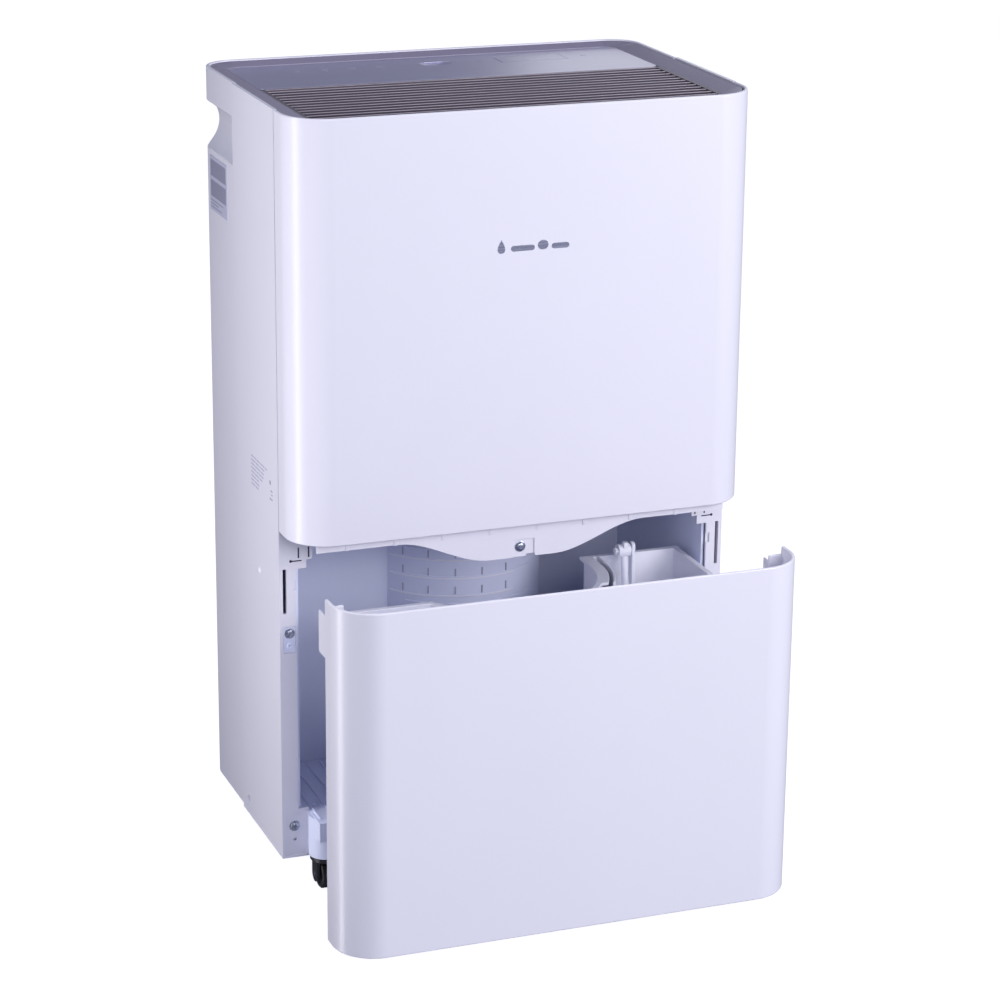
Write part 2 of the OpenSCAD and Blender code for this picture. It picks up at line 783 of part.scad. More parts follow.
module blower_wheel() color(BLACK) cabinet() at_fan() {
    y0 = scroll_y + liner_t + 4;
    y1 = y0 + blower_l;
    ring = 6;
    difference() {
        union() {
            rod([0, y0, 0], [0, y0 + 3, 0], blower_r);
            rod([0, y0, 0], [0, y0 + 34, 0], 14);
        }
        rod([0, y0 - over, 0], [0, y1, 0], shaft_r);
    }
    difference() {
        rod([0, y1 - 4, 0], [0, y1, 0], blower_r);
        rod([0, y1 - 5, 0], [0, y1 + over, 0], blower_r - ring - 7);
    }
    for (i = [0:blade_count - 1]) rotate([0, i * 360 / blade_count, 0])
        translate([blower_r - ring - 4, y0 + 1.5, 0]) rotate([0, 30, 0])
            cube([ring + 1, blower_l - 3.5, 1.2]);
}

module motor_shaft() color(STEEL) cabinet() at_fan() {
    rod([0, scroll_y - motor_d + 4, 0], [0, scroll_y + liner_t + 38, 0], shaft_r);
}

module fan_motor() color(STEEL) cabinet() at_fan() difference() {
    union() {
        rod([0, scroll_y - motor_d, 0], [0, scroll_y - 3, 0], motor_r);
        rod([0, scroll_y - 3, 0], [0, scroll_y, 0], motor_r + 8);
    }
    rod([0, scroll_y - motor_d + 3, 0], [0, scroll_y + over, 0], shaft_r + running_fit);
}

module grille_bars(half, low, high, y0, y1, pitch, bar) {
    n = floor((high - low) / pitch);
    for (i = [1:n - 1]) {
        z = low + (high - low) * i / n;
        box([-half, y0, z - bar / 2], [half, y1, z + bar / 2]);
    }
}

module intake_grille() color(WHITE) cabinet() {
    half = window_half - window_gap;
    low = window_low + window_gap;
    high = window_high - window_gap;
    y0 = body_d - wall;
    difference() {
        box([-half, y0, low], [half, body_d, high]);
        box([-half + 6, y0 - over, low + 6], [half - 6, body_d + over, high - 6]);
    }
    grille_bars(half - 5, low + 6, high - 6, y0, body_d - 0.5, 9, 3);
    for (i = [-2:2]) box([i * half / 3 - 1.5, y0, low + 5], [i * half / 3 + 1.5, body_d - 1, high - 5]);
}

module filter_frame() color(TUB_WHITE) cabinet() {
    half = window_half - window_gap;
    low = window_low + window_gap;
    high = window_high - window_gap;
    y0 = body_d - wall - 5;
    y1 = body_d - wall;
    difference() {
        box([-half, y0, low], [half, y1, high]);
        box([-half + 5, y0 - over, low + 5], [half - 5, y1 + over, high - 5]);
    }
    for (i = [-1:1]) box([i * half / 2 - 1.5, y0 + 2, low + 4], [i * half / 2 + 1.5, y1 - 1, high - 4]);
}

module filter_mesh() color(BLACK) cabinet() {
    half = window_half - window_gap - 5;
    y0 = body_d - wall - 5;
    box([-half, y0 + 0.6, window_low + window_gap + 5], [half, y0 + 1.4, window_high - window_gap - 5]);
}

// ---------- Electrics ----------

module electrical_box() color(WHITE) cabinet() translate(elec) difference() {
    cube(elec_size);
    translate([2, 2, 2]) cube(elec_size - [4, 4, 0]);
}

module main_board() color(BOARD_GREEN) cabinet() translate(elec) {
    box([6, 6, 8], [elec_size[0] - 6, elec_size[1] - 6, 9.6]);
    for (p = [[12, 12], [12, elec_size[1] - 12], [elec_size[0] - 12, 12]])
        translate([p[0], p[1], 2]) cylinder(h = 6, r = 3);
    box([20, 20, 9.6], [48, 44, 30]);
    box([60, 24, 9.6], [76, 60, 22]);
    translate([100, 30, 9.6]) cylinder(h = 24, r = 10);
    translate([100, 62, 9.6]) cylinder(h = 16, r = 7);
}

module run_capacitor() color(ALUMINIUM) cabinet() {
    translate([-60, 30, tray_z + 21]) rotate([-90, 0, 0]) cylinder(h = 62, r = 18);
    // Saddle
    box([-72, 44, tray_z + liner_t + 0.5], [-48, 76, tray_z + 5]);
}

module humidity_sensor() color(BOARD_GREEN) cabinet() {
    box([-window_half - 14, body_d - wall - 3, sensor_z], [-window_half - 4, body_d - wall, sensor_z + 25]);
    box([-window_half - 12, body_d - wall - 7, sensor_z + 8],
        [-window_half - 6, body_d - wall - 3, sensor_z + 17]);
}

module bucket_switch() color(BLACK) cabinet() {
    box([float_x - 8, float_y - 10, bay_top - 34], [float_x + 8, float_y + 10, bay_top]);
    box([float_x - 3, float_y - 8, bay_top - 56], [float_x + 3, float_y - 5, bay_top - 33.9]);
}

module drain_outlet() color(TUB_WHITE) cabinet() difference() {
    union() {
        rod([drain_x, body_d - recess_d - 12, drain_z], [drain_x, body_d - recess_d + drain_len, drain_z],
            drain_r);
        // Shoulder in the cover's hole, and the flange behind it
        rod([drain_x, body_d - recess_d - 4, drain_z], [drain_x, body_d - recess_d, drain_z], drain_r + 1.5);
        rod([drain_x, body_d - recess_d - 5, drain_z], [drain_x, body_d - recess_d - 2.5, drain_z],
            drain_r + 5);
    }
    rod([drain_x, body_d - 60, drain_z], [drain_x, body_d + over, drain_z], drain_r - 2.2);
}

module cord_gland() color(BLACK) cabinet() difference() {
    union() {
        rod([gland_x, body_d - 9, gland_z], [gland_x, body_d, gland_z], gland_r);
        rod([gland_x, body_d - 9, gland_z], [gland_x, body_d - wall, gland_z], gland_r + 3);
    }
    rod([gland_x, body_d - 20, gland_z], [gland_x, body_d + over, gland_z], 3.8);
}

module rating_label() color(STEEL) cabinet()
    box([-half_w + rear_step - label_t, label_y[0], top_z - label_drop[0]],
        [-half_w + rear_step, label_y[1], top_z - label_drop[1]]);

module screw(at, dir) {
    y = at[1];
    rod([at[0], y, at[2]], [at[0], y - dir * screw_head_h, at[2]], screw_head_r);
    rod([at[0], y - dir * 0.01, at[2]], [at[0], y + dir * screw_shank, at[2]], screw_shank_r);
}

module case_screws() color(STEEL) cabinet() {
    for (s = [-1, 1], p = flange_screws)
        screw([s * (half_w - p[1]), side_y + bracket_recess, p[0]], 1);
    screw([fascia_screw[0], fascia_y + 1.2, fascia_screw[1]], 1);
    for (s = [-1, 1], z = rear_screw_z) screw([s * rear_screw_x, body_d - 5, z], -1);
}

// ---------- Bucket ----------

module bucket_panel() color(WHITE) drawer() {
    translate([0, 0, bucket_bottom]) linear_extrude(bucket_top - bucket_bottom)
        skin(half_w, wall, 0, bucket_wrap);
    for (s = [-1, 1]) mirror([s > 0 ? 0 : 1, 0, 0]) {
        // Guide lug behind each return, with the web that carries it
        box([half_w - wall - lug_gap - lug_t, bucket_wrap - 8, lug_low],
            [half_w - wall - lug_gap, bucket_wrap + lug_reach, lug_high]);
        box([half_w - wall - lug_gap - 0.01, bucket_wrap - 8, lug_low],
            [half_w - wall + 0.01, bucket_wrap - 1, lug_high]);
        // Stiffening rib inside the return
        box([half_w - wall - 12, bucket_wrap - 3, bucket_bottom + 20],
            [half_w - wall + 0.01, bucket_wrap - 1, bucket_top - 6]);
    }
}

// Plan of the tub, grown or shrunk by a thickness
module tub_plan(grow) {
    inset = max(0, -grow);
    intersection() {
        difference() {
            translate([-tub_left - grow, 0]) square([tub_left + tub_right + 2 * grow, tub_deep + grow]);
            translate([-tub_left - body_w, tub_back + grow]) square([tub_left + body_w + pocket_x, body_d]);
            translate([0, bulge_y]) circle(tub_bulge - grow);
            translate([-tub_bulge + grow, bulge_y]) square([2 * (tub_bulge - grow), body_d]);
        }
        // The front follows the inside of the bucket's panel
        plan(half_w - wall - 1.5 - inset, tub_front + inset, body_d, front_r - wall - 1.5 - inset, rear_r);
    }
}

module bucket_tub() color(TUB_WHITE) drawer() {
    difference() {
        union() {
            translate([0, 0, tub_low]) linear_extrude(tub_rim - tub_low) tub_plan(0);
            // Rolled rim
            translate([0, 0, tub_rim - rim_t]) linear_extrude(rim_t) tub_plan(rim_w);
        }
        translate([0, 0, tub_low + tub_floor_t]) linear_extrude(tub_rim) tub_plan(-tub_wall);
    }
    // Float post with its pin, and the web that ties it to the deep rear wall
    hull() {
        box([float_x + 6, float_y - 4, tub_rim - 60], [float_x + 9, float_y + 4, tub_rim - 59]);
        rod([float_x + 6, float_y, float_z + 3], [float_x + 9, float_y, float_z + 3], 4);
    }
    box([float_x + 6, float_y - 4, tub_rim - 90], [float_x + 9, tub_deep - tub_wall + 0.01, tub_rim - 50]);
    rod([float_x - 7, float_y, float_z], [float_x + 6.01, float_y, float_z], pin_r);
    rod([float_x - 8.5, float_y, float_z], [float_x - 7, float_y, float_z], pin_r + 0.7);
    // Flat band along the top of the concave wall, and the guide wall beside it
    intersection() {
        union() {
            translate([0, 0, tub_rim - band_t]) linear_extrude(band_t)
                bulge_band(tub_bulge - 0.01, tub_bulge + band_w);
            translate([0, 0, tub_low + tub_floor_t - 0.01]) linear_extrude(tub_rim - tub_low - tub_floor_t)
                bulge_band(tub_bulge + guide_gap, tub_bulge + guide_gap + guide_t);
        }
        translate([pocket_x, tub_deep - tub_wall + 0.01 - guide_front, 0])
            cube([body_w, guide_front, total_h]);
    }
}

// Plan of a strip that runs round the bulge between two distances from its centre
module bulge_band(near, far) translate([0, bulge_y]) difference() {
    union() {
        circle(far);
        translate([-far, 0]) square([2 * far, body_d]);
    }
    circle(near);
    translate([-near, 0]) square([2 * near, body_d]);
}

module float_lever() color(TUB_WHITE) drawer() {
    y = float_y;
    z = float_z;
    difference() {
        union() {
            rod([float_x - 6, y, z], [float_x + 5, y, z], 5.5);
            box([float_x - 2, y - 5, z], [float_x + 2, y, z + 8]);
            rod([float_x, y, z - 2], [float_x, y - float_back, z - float_drop], 3);
        }
        rod([float_x - 10, y, z], [float_x + 10, y, z], pin_r + running_fit);
    }
}

module float_block() color(WHITE) drawer()
    difference() {
        translate([float_x - float_left, float_y - float_back - float_size[1] / 2,
            float_z - float_drop - 4 - float_size[2]]) cube(float_size + [0, 0, 6]);
        rod([float_x, float_y, float_z - 2], [float_x, float_y - float_back, float_z - float_drop], 3);
    }

// ---------- Casters ----------

// The four casters: their names' endings and their stems' places
caster_at = [["fl", -1, caster_front_y], ["fr", 1, caster_front_y], ["rl", -1, caster_rear_y],
    ["rr", 1, caster_rear_y]];

module at_caster(i) cabinet() translate([caster_at[i][1] * caster_x, caster_at[i][2], 0]) children();

module caster_fork(i) color(BLACK) at_caster(i) {
    outer = wheel_w / 2 + cheek_gap + cheek_t;
    difference() {
        union() {
            translate([0, 0, fork_top - 3]) cylinder(h = 3, r = housing_r - 1);
            translate([0, 0, fork_top - 0.01]) cylinder(h = stem_bore_top - fork_top - 1, r = stem_r);
            for (s = [-1, 1]) {
                box([s * (outer - cheek_t / 2) - cheek_t / 2, trail - 7, wheel_r],
                    [s * (outer - cheek_t / 2) + cheek_t / 2, trail + 7, fork_top - 2.99]);
                rod([s * (outer - cheek_t), trail, wheel_r], [s * outer, trail, wheel_r], 7);
            }
        }
        rod([-outer - over, trail, wheel_r], [outer + over, trail, wheel_r], axle_r);
    }
}

module caster_axle(i) color(STEEL) at_caster(i) {
    outer = wheel_w / 2 + cheek_gap + cheek_t;
    rod([-outer, trail, wheel_r], [outer, trail, wheel_r], axle_r);
}

module caster_wheel(i) color(BLACK) at_caster(i) {
    edge = 1.5;
    translate([0, trail, wheel_r]) rotate([0, 90, 0]) difference() {
        union() {
            cylinder(h = wheel_w - 2 * edge, r = wheel_r, center = true);
            cylinder(h = wheel_w, r = wheel_r - edge, center = true);
        }
        cylinder(h = 2 * wheel_w, r = axle_r + running_fit, center = true);
    }
}

front_panel();
side_panel(-1);  // left_side_panel
side_panel(1);  // right_side_panel
rear_cover();
top_frame();
outlet_louvre();
control_panel();
power_button();
display_window();
control_board();
fascia();
bay_liner();
base_pan();
drip_tray();
intake_grille();
filter_frame();
filter_mesh();
evaporator();
condenser();
fan_scroll();
blower_wheel();
fan_motor();
motor_shaft();
compressor();
accumulator();
compressor_feet();
refrigerant_pipes();
filter_drier();
run_capacitor();
electrical_box();
main_board();
humidity_sensor();
bucket_switch();
drain_outlet();
cord_gland();
rating_label();
case_screws();
bucket_panel();
bucket_tub();
float_lever();
float_block();
for (i = [0:3]) {
    caster_fork(i);
    caster_axle(i);
    caster_wheel(i);
}
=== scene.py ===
"""Looks of the portable dehumidifier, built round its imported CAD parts.

Metres, with +X right, +Y to the rear and +Z up. The origin is on the floor under the middle of
the object. Sizes that belong to this file are in millimetres and are multiplied by MM.
"""

import json
import math

import bmesh
import bpy
from mathutils import Matrix, Vector


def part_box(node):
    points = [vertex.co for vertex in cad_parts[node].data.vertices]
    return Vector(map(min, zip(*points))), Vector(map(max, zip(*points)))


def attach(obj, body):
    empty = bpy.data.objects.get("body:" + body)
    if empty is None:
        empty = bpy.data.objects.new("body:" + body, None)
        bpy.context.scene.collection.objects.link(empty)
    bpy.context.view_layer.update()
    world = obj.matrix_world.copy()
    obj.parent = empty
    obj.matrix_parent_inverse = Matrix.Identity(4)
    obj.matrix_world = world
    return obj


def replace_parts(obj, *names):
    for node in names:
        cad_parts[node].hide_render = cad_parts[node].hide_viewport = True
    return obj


MM = 0.001
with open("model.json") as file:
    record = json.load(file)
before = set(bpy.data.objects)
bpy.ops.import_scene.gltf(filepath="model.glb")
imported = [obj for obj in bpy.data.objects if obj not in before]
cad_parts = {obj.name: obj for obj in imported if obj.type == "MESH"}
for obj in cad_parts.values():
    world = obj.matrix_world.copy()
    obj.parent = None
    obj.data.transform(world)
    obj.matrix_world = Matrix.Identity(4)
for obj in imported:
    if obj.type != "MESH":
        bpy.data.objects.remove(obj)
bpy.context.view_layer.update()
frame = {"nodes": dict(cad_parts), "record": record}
NODES = frame["nodes"]
SLOT_OF = {part["node"]: part["material_slot"] for part in frame["record"]["subparts"]}
BODY_OF = {
    node: body
    for body, nodes in frame["record"]["behaviour"]["bodies"].items()
    for node in nodes
}


# ---------- Camera, lights and sky ----------


def make_camera():
    yaw, pitch, roll = (math.radians(a) for a in (20.73, 18.02, 0.55))
    forward = Vector(
        (math.sin(yaw) * math.cos(pitch), math.cos(yaw) * math.cos(pitch), -math.sin(pitch))
    )
    level = Vector((math.cos(yaw), -math.sin(yaw), 0))
    upright = level.cross(forward)
    right = level * math.cos(roll) + upright * math.sin(roll)
    up = upright * math.cos(roll) - level * math.sin(roll)
    data = bpy.data.cameras.new("camera")
    data.lens = 112.8
    data.sensor_width = 36
    data.clip_end = 50
    camera = bpy.data.objects.new("camera", data)
    turn = Matrix((right, up, -forward)).transposed().to_4x4()
    camera.matrix_world = Matrix.Translation((-0.8709, -2.3119, 1.1172)) @ turn
    bpy.context.scene.collection.objects.link(camera)
    bpy.context.scene.camera = camera


def softbox(name, place, aim, size, power, tint=(1, 1, 1)):
    data = bpy.data.lights.new(name, "AREA")
    data.shape = "RECTANGLE"
    data.size, data.size_y = size
    data.energy = power
    data.color = tint
    lamp = bpy.data.objects.new(name, data)
    lamp.location = place
    lamp.visible_camera = False
    way = Vector(aim) - Vector(place)
    lamp.rotation_euler = way.to_track_quat("-Z", "Y").to_euler()
    bpy.context.scene.collection.objects.link(lamp)


def make_lights():
    softbox("key", (1.10, -1.45, 1.00), (0.05, 0, 0.3), (0.7, 1.2), 20, (1, 0.98, 0.96))
    softbox("front", (-0.1, -2.2, 1.10), (0.02, 0, 0.27), (1.2, 0.7), 15, (1, 0.98, 0.97))
    softbox("left", (-0.52, -0.05, 0.36), (-0.19, -0.05, 0.36), (0.10, 1.3), 2.6, (1, 0.98, 0.99))
    softbox("back", (1.10, 1.50, 1.20), (0.12, 0.05, 0.657), (1.0, 0.9), 2.2)


def make_sky():
    """Soft light from all round: brightest ahead and to the right, dim at the left rear."""
    world = bpy.data.worlds.new("studio")
    world.use_nodes = True
    sky = Graph()
    sky.tree = world.node_tree
    sky.tree.nodes.clear()
    way = sky.node("ShaderNodeTexCoord").outputs["Generated"]
    parts = sky.node("ShaderNodeSeparateXYZ", values={0: way}).outputs
    right, back, up = (Level(sky, part) for part in parts)
    glow = 0.39 + (right * 0.45 - back * 0.62 + up * 0.25) * 0.28
    shine = sky.node("ShaderNodeBackground", values={"Color": (0.76, 0.80, 1, 1), "Strength": glow})
    sky.node("ShaderNodeOutputWorld", values={"Surface": shine.outputs[0]})
    bpy.context.scene.world = world
    bpy.context.scene.view_settings.view_transform = "Standard"


# ---------- Shader maths ----------


class Level:
    """A number that varies over a surface. Arithmetic on it adds Math nodes."""

    def __init__(self, graph, socket):
        self.graph = graph
        self.socket = socket

    def math(self, operation, *values):
        made = self.graph.node("ShaderNodeMath", {"operation": operation}, dict(enumerate(values)))
        return Level(self.graph, made.outputs[0])

    def __add__(self, other):
        return self.math("ADD", self, other)

    def __sub__(self, other):
        return self.math("SUBTRACT", self, other)

    def __rsub__(self, other):
        return self.math("SUBTRACT", other, self)

    def __mul__(self, other):
        return self.math("MULTIPLY", self, other)

    def __truediv__(self, other):
        return self.math("DIVIDE", self, other)

    def __pow__(self, other):
        return self.math("POWER", self, other)

    def __gt__(self, other):
        return self.math("GREATER_THAN", self, other)

    def __lt__(self, other):
        return self.math("LESS_THAN", self, other)

    __radd__ = __add__
    __rmul__ = __mul__

    def clamp(self):
        return self.math("MAXIMUM", self.math("MINIMUM", self, 1), 0)

    def wave(self):
        """0 to 1 and back, once for each whole number."""
        return self.math("PINGPONG", self, 0.5) * 2


class Graph:
    """A node tree under construction."""

    def node(self, kind, settings=None, values=None):
        """Adds a node: its settings first, then the values or links of its sockets."""
        made = self.tree.nodes.new(kind)
        for key, value in (settings or {}).items():
            if key == "stops":
                ramp = made.color_ramp
                while len(ramp.elements) < len(value):
                    ramp.elements.new(0.5)
                for element, (position, colour) in zip(ramp.elements, value):
                    element.position, element.color = position, (*colour, 1)
            else:
                setattr(made, key, value)
        for key, value in (values or {}).items():
            value = value.socket if isinstance(value, Level) else value
            if isinstance(value, bpy.types.NodeSocket):
                self.tree.links.new(value, made.inputs[key])
            else:
                made.inputs[key].default_value = value
        return made


class Paint(Graph):
    """A material under construction: its node tree and one surface shader."""

    def __init__(self, name):
        self.material = bpy.data.materials.new(name)
        self.material.use_nodes = True
        self.tree = self.material.node_tree
        self.tree.nodes.clear()
        self.place = self.node("ShaderNodeTexCoord").outputs["Object"]

    def axis(self, letter):
        made = self.node("ShaderNodeSeparateXYZ", values={0: self.place})
        return Level(self, made.outputs[letter])

    def noise(self, per_metre, detail=2.0, stretch=(1, 1, 1)):
        where = self.node("ShaderNodeMapping", values={"Vector": self.place, "Scale": stretch})
        made = self.node(
            "ShaderNodeTexNoise",
            values={"Vector": where.outputs[0], "Scale": per_metre, "Detail": detail},
        )
        return Level(self, made.outputs["Fac"])

    def edge(self):
        """1 on the rounded edges of a piece, and 0 on its faces."""
        made = self.node("ShaderNodeAttribute", {"attribute_name": "edge"})
        return Level(self, made.outputs["Fac"])

    def mix(self, level, low, high):
        made = self.node(
            "ShaderNodeMix", {"data_type": "RGBA"}, {"Factor": level}
        )
        for name, colour in (("A", low), ("B", high)):
            socket = [s for s in made.inputs if s.name == name and s.type == "RGBA"][0]
            if isinstance(colour, bpy.types.NodeSocket):
                self.tree.links.new(colour, socket)
            else:
                socket.default_value = (*colour, 1)
        return [s for s in made.outputs if s.type == "RGBA"][0]

    def bump(self, height, depth, under=None):
        """A normal from a height from 0 to 1 that stands for so many metres."""
        values = {"Height": height, "Distance": depth, "Strength": 1}
        if under is not None:
            values["Normal"] = under
        return self.node("ShaderNodeBump", values=values).outputs[0]

    def finish(self, **sockets):
        names = {
            "colour": "Base Color", "rough": "Roughness", "metal": "Metallic", "normal": "Normal",
            "coat": "Coat Weight", "coat_rough": "Coat Roughness", "specular": "Specular IOR Level",
            "alpha": "Alpha", "glow": "Emission Color", "glow_power": "Emission Strength",
        }
        values = {}
        for key, value in sockets.items():
            if key == "colour" and isinstance(value, tuple):
                value = (*value, 1)
            values[names[key]] = value
        surface = self.node("ShaderNodeBsdfPrincipled", values=values)
        self.node("ShaderNodeOutputMaterial", values={"Surface": surface.outputs[0]})
        return self.material


def shade(colour, factor):
    return tuple(min(1.0, c * factor) for c in colour)


def from_screen(red, green, blue):
    """A colour given as it looks on a screen, from 0 to 255, as light."""
    return tuple((c / 255) ** 2.2 for c in (red, green, blue))


# ---------- Finishes ----------


def moulded(name, colour, rough, grain_depth, drift=0.05, coat=0.0, grain_size=0.5):
    """Injection-moulded plastic: fine spark grain, slow sink waves, and rounded edges painted lighter as a
    highlight and made a little less rough.
    """
    paint = Paint(name)
    cloud = paint.noise(7, 3)
    flow = paint.noise(24, 2, (1, 1, 0.25))
    grain = paint.noise(1000 / grain_size, 1)
    sink = paint.noise(5, 1)
    edge = paint.edge()
    tone = (cloud * 0.7 + flow * 0.3).clamp()
    body = paint.mix(tone, shade(colour, 1 - drift), shade(colour, 1 + drift))
    # Painted highlight: the rounded edges are mixed towards a lighter tone of the colour.
    painted_edge_highlight = paint.mix(edge * 0.5, body, shade(colour, 1.06))
    waves = paint.bump(sink, 0.5 * MM)
    normal = paint.bump(grain, grain_depth * MM, waves)
    roughness = (grain - 0.5) * 0.12 + (cloud - 0.5) * 0.08 + rough - edge * 0.06
    return paint.finish(colour=painted_edge_highlight, rough=roughness, normal=normal, coat=coat, coat_rough=0.15)


def make_shell_white():
    return moulded("shell_white", from_screen(222, 221, 234), 0.34, 0.012, 0.02, coat=0.12)


def make_inner_white():
    return moulded("inner_white", from_screen(222, 227, 252), 0.5, 0.02, 0.04)


def make_tub_plastic():
    return moulded("tub_plastic", from_screen(236, 237, 251), 0.4, 0.012, 0.02)


def make_frame_grey():
    """Satin grey paint with a fine metal flake."""
    paint = Paint("frame_grey")
    flake = paint.noise(2600, 0)
    cloud = paint.noise(9, 2)
    edge = paint.edge()
    base = paint.mix(flake, from_screen(124, 118, 142), from_screen(156, 150, 174))
    # Painted highlight: the rounded edges are mixed towards a light grey.
    painted_edge_highlight = paint.mix(edge * 0.6, base, from_screen(186, 184, 200))
    return paint.finish(
        colour=painted_edge_highlight, rough=0.42 + (cloud - 0.5) * 0.1 - edge * 0.1, metal=0.25,
        normal=paint.bump(flake, 0.006 * MM),
    )


def make_slat_bronze():
    """Warm grey paint on the slats, with a painted highlight along the edges and on the slats' top faces."""
    paint = Paint("slat_bronze")
    flake = paint.noise(2400, 0)
    streak = paint.noise(60, 3, (0.15, 1, 1))
    edge = paint.edge()
    base = paint.mix(streak * 0.6 + flake * 0.4, from_screen(80, 73, 84), from_screen(110, 103, 114))
    # Painted highlight: the edges and the slats' top faces are mixed towards a light warm grey.
    painted_edge_highlight = paint.mix(edge * 0.7, base, from_screen(176, 168, 182))
    return paint.finish(
        colour=painted_edge_highlight, rough=0.4 + (streak - 0.5) * 0.12, metal=0.3, normal=paint.bump(flake, 0.006 * MM)
    )


def make_panel_silver():
    """Silver paint under a clear glossy top, with the faintest brushed line."""
    paint = Paint("panel_silver")
    flake = paint.noise(3200, 0)
    line = paint.noise(300, 2, (0.04, 1, 1))
    cloud = paint.noise(6, 2)
    edge = paint.edge()
    base = paint.mix(
        line * 0.3 + flake * 0.3 + cloud * 0.4, from_screen(136, 132, 170), from_screen(168, 164, 202)
    )
    # Painted highlight: the rounded edges are mixed towards a light grey.
    painted_edge_highlight = paint.mix(edge * 0.5, base, from_screen(200, 200, 220))
    return paint.finish(
        colour=painted_edge_highlight, rough=0.3 + (cloud - 0.5) * 0.08, metal=0.35, coat=0.8, coat_rough=0.28,
        normal=paint.bump(flake, 0.004 * MM),
    )


def make_window_smoke():
    """The dead-front window: nearly the panel's own tone, glossier."""
    paint = Paint("window_smoke")
    cloud = paint.noise(40, 2)
    base = paint.mix(cloud, from_screen(142, 138, 176), from_screen(154, 150, 188))
    return paint.finish(colour=base, rough=0.3 + (cloud - 0.5) * 0.06, metal=0.35, coat=0.8,
                        coat_rough=0.26, normal=paint.bump(cloud, 0.004 * MM))


def make_icon_ink():
    paint = Paint("icon_ink")
    grain = paint.noise(1500, 1)
    base = paint.mix(grain, from_screen(158, 157, 184), from_screen(172, 171, 196))
    return paint.finish(colour=base, rough=0.4 + (grain - 0.5) * 0.1, normal=paint.bump(grain, 0.005 * MM))


def make_badge_metal():
    paint = Paint("badge_metal")
    brush = paint.noise(900, 2, (0.05, 1, 1))
    edge = paint.edge()
    base = paint.mix(brush, from_screen(128, 130, 150), from_screen(160, 162, 182))
    # Painted highlight: the rounded edges are mixed towards a near-white grey.
    painted_edge_highlight = paint.mix(edge * 0.6, base, from_screen(206, 208, 222))
    return paint.finish(colour=painted_edge_highlight, rough=0.28 + (brush - 0.5) * 0.16, metal=0.7,
                        normal=paint.bump(brush, 0.01 * MM))


def make_label_paper():
    paint = Paint("label_grey")
    fibre = paint.noise(900, 3)
    base = paint.mix(fibre, from_screen(176, 176, 200), from_screen(192, 192, 214))
    return paint.finish(colour=base, rough=0.45 + (fibre - 0.5) * 0.1, normal=paint.bump(fibre, 0.01 * MM))


def make_print_grey():
    paint = Paint("print_grey")
    dots = paint.noise(1800, 1)
    base = paint.mix(dots, from_screen(130, 130, 154), from_screen(150, 150, 172))
    return paint.finish(colour=base, rough=0.5 + (dots - 0.5) * 0.1, normal=paint.bump(dots, 0.004 * MM))


# Faint print on the side notice, and painted shade lines on the bulge's moulded ticks.
def make_faint_print_and_shade():
    paint = Paint("faint_print_and_shade")
    dots = paint.noise(1800, 1)
    base = paint.mix(dots, from_screen(160, 160, 184), from_screen(182, 182, 204))
    return paint.finish(colour=base, rough=0.5 + (dots - 0.5) * 0.1, normal=paint.bump(dots, 0.004 * MM))


def make_steel():
    """Zinc-plated steel with a faint crystal mottle and fine scratches."""
    paint = Paint("steel")
    mottle = paint.noise(500, 3)
    scratch = paint.noise(1600, 2, (0.1, 1, 1))
    edge = paint.edge()
    base = paint.mix(mottle, from_screen(132, 136, 152), from_screen(190, 194, 208))
    # Painted highlight: the rounded edges are mixed towards a near-white grey.
    painted_edge_highlight = paint.mix(edge * 0.7, base, from_screen(232, 234, 242))
    return paint.finish(colour=painted_edge_highlight, rough=0.26 + (mottle - 0.5) * 0.2, metal=1.0,
                        normal=paint.bump(scratch, 0.01 * MM))


def make_copper():
    """Drawn copper tube, bright with darker tarnish patches."""
    paint = Paint("copper")
    tarnish = paint.noise(60, 4)
    draw = paint.noise(900, 2, (1, 1, 0.1))
    base = paint.mix(tarnish, from_screen(214, 132, 96), from_screen(150, 84, 60))
    return paint.finish(colour=base, rough=0.22 + tarnish * 0.25, metal=1.0,
                        normal=paint.bump(draw, 0.01 * MM))


def make_fins():
    """Aluminium with a fin every 1.6 mm across the coil; the gaps between the fins are darkened as painted
    shade.
    """
    paint = Paint("fin_aluminium")
    pleat = (paint.axis("X") / (1.6 * MM)).wave()
    mottle = paint.noise(200, 2)
    # Painted shade: the colour goes dark between the fins and light on them.
    base = paint.mix(pleat, from_screen(120, 124, 132), from_screen(214, 218, 226))
    return paint.finish(colour=base, rough=0.3 + (mottle - 0.5) * 0.1, metal=0.9,
                        normal=paint.bump(pleat, 0.5 * MM))


def make_board():
    """Green solder mask over copper tracks."""
    paint = Paint("board_green")
    across = (paint.axis("X") / (5 * MM)).wave() > 0.82
    along = (paint.axis("Y") / (7 * MM)).wave() > 0.86
    patch = paint.noise(120, 0) > 0.5
    track = (across * patch + along * (1 - patch)).clamp()
    mask = paint.noise(400, 2)
    green = paint.mix(mask, from_screen(24, 92, 52), from_screen(34, 112, 64))
    base = paint.mix(track, green, from_screen(60, 150, 88))
    return paint.finish(colour=base, rough=0.32 + (mask - 0.5) * 0.1, coat=0.4, coat_rough=0.1,
                        normal=paint.bump(track, 0.03 * MM))


def make_mesh_grey():
    """Woven filter cloth: threads over and under, every 0.9 mm."""
    paint = Paint("mesh_grey")
    across = (paint.axis("X") / (0.9 * MM)).wave()
    up = (paint.axis("Z") / (0.9 * MM)).wave()
    weave = across.math("MAXIMUM", across, up)
    dust = paint.noise(30, 4)
    base = paint.mix(weave, from_screen(34, 35, 42), from_screen(92, 93, 104))
    soft = paint.mix(dust * 0.3, base, from_screen(120, 118, 122))
    return paint.finish(colour=soft, rough=0.7 + (dust - 0.5) * 0.1, normal=paint.bump(weave, 0.2 * MM))


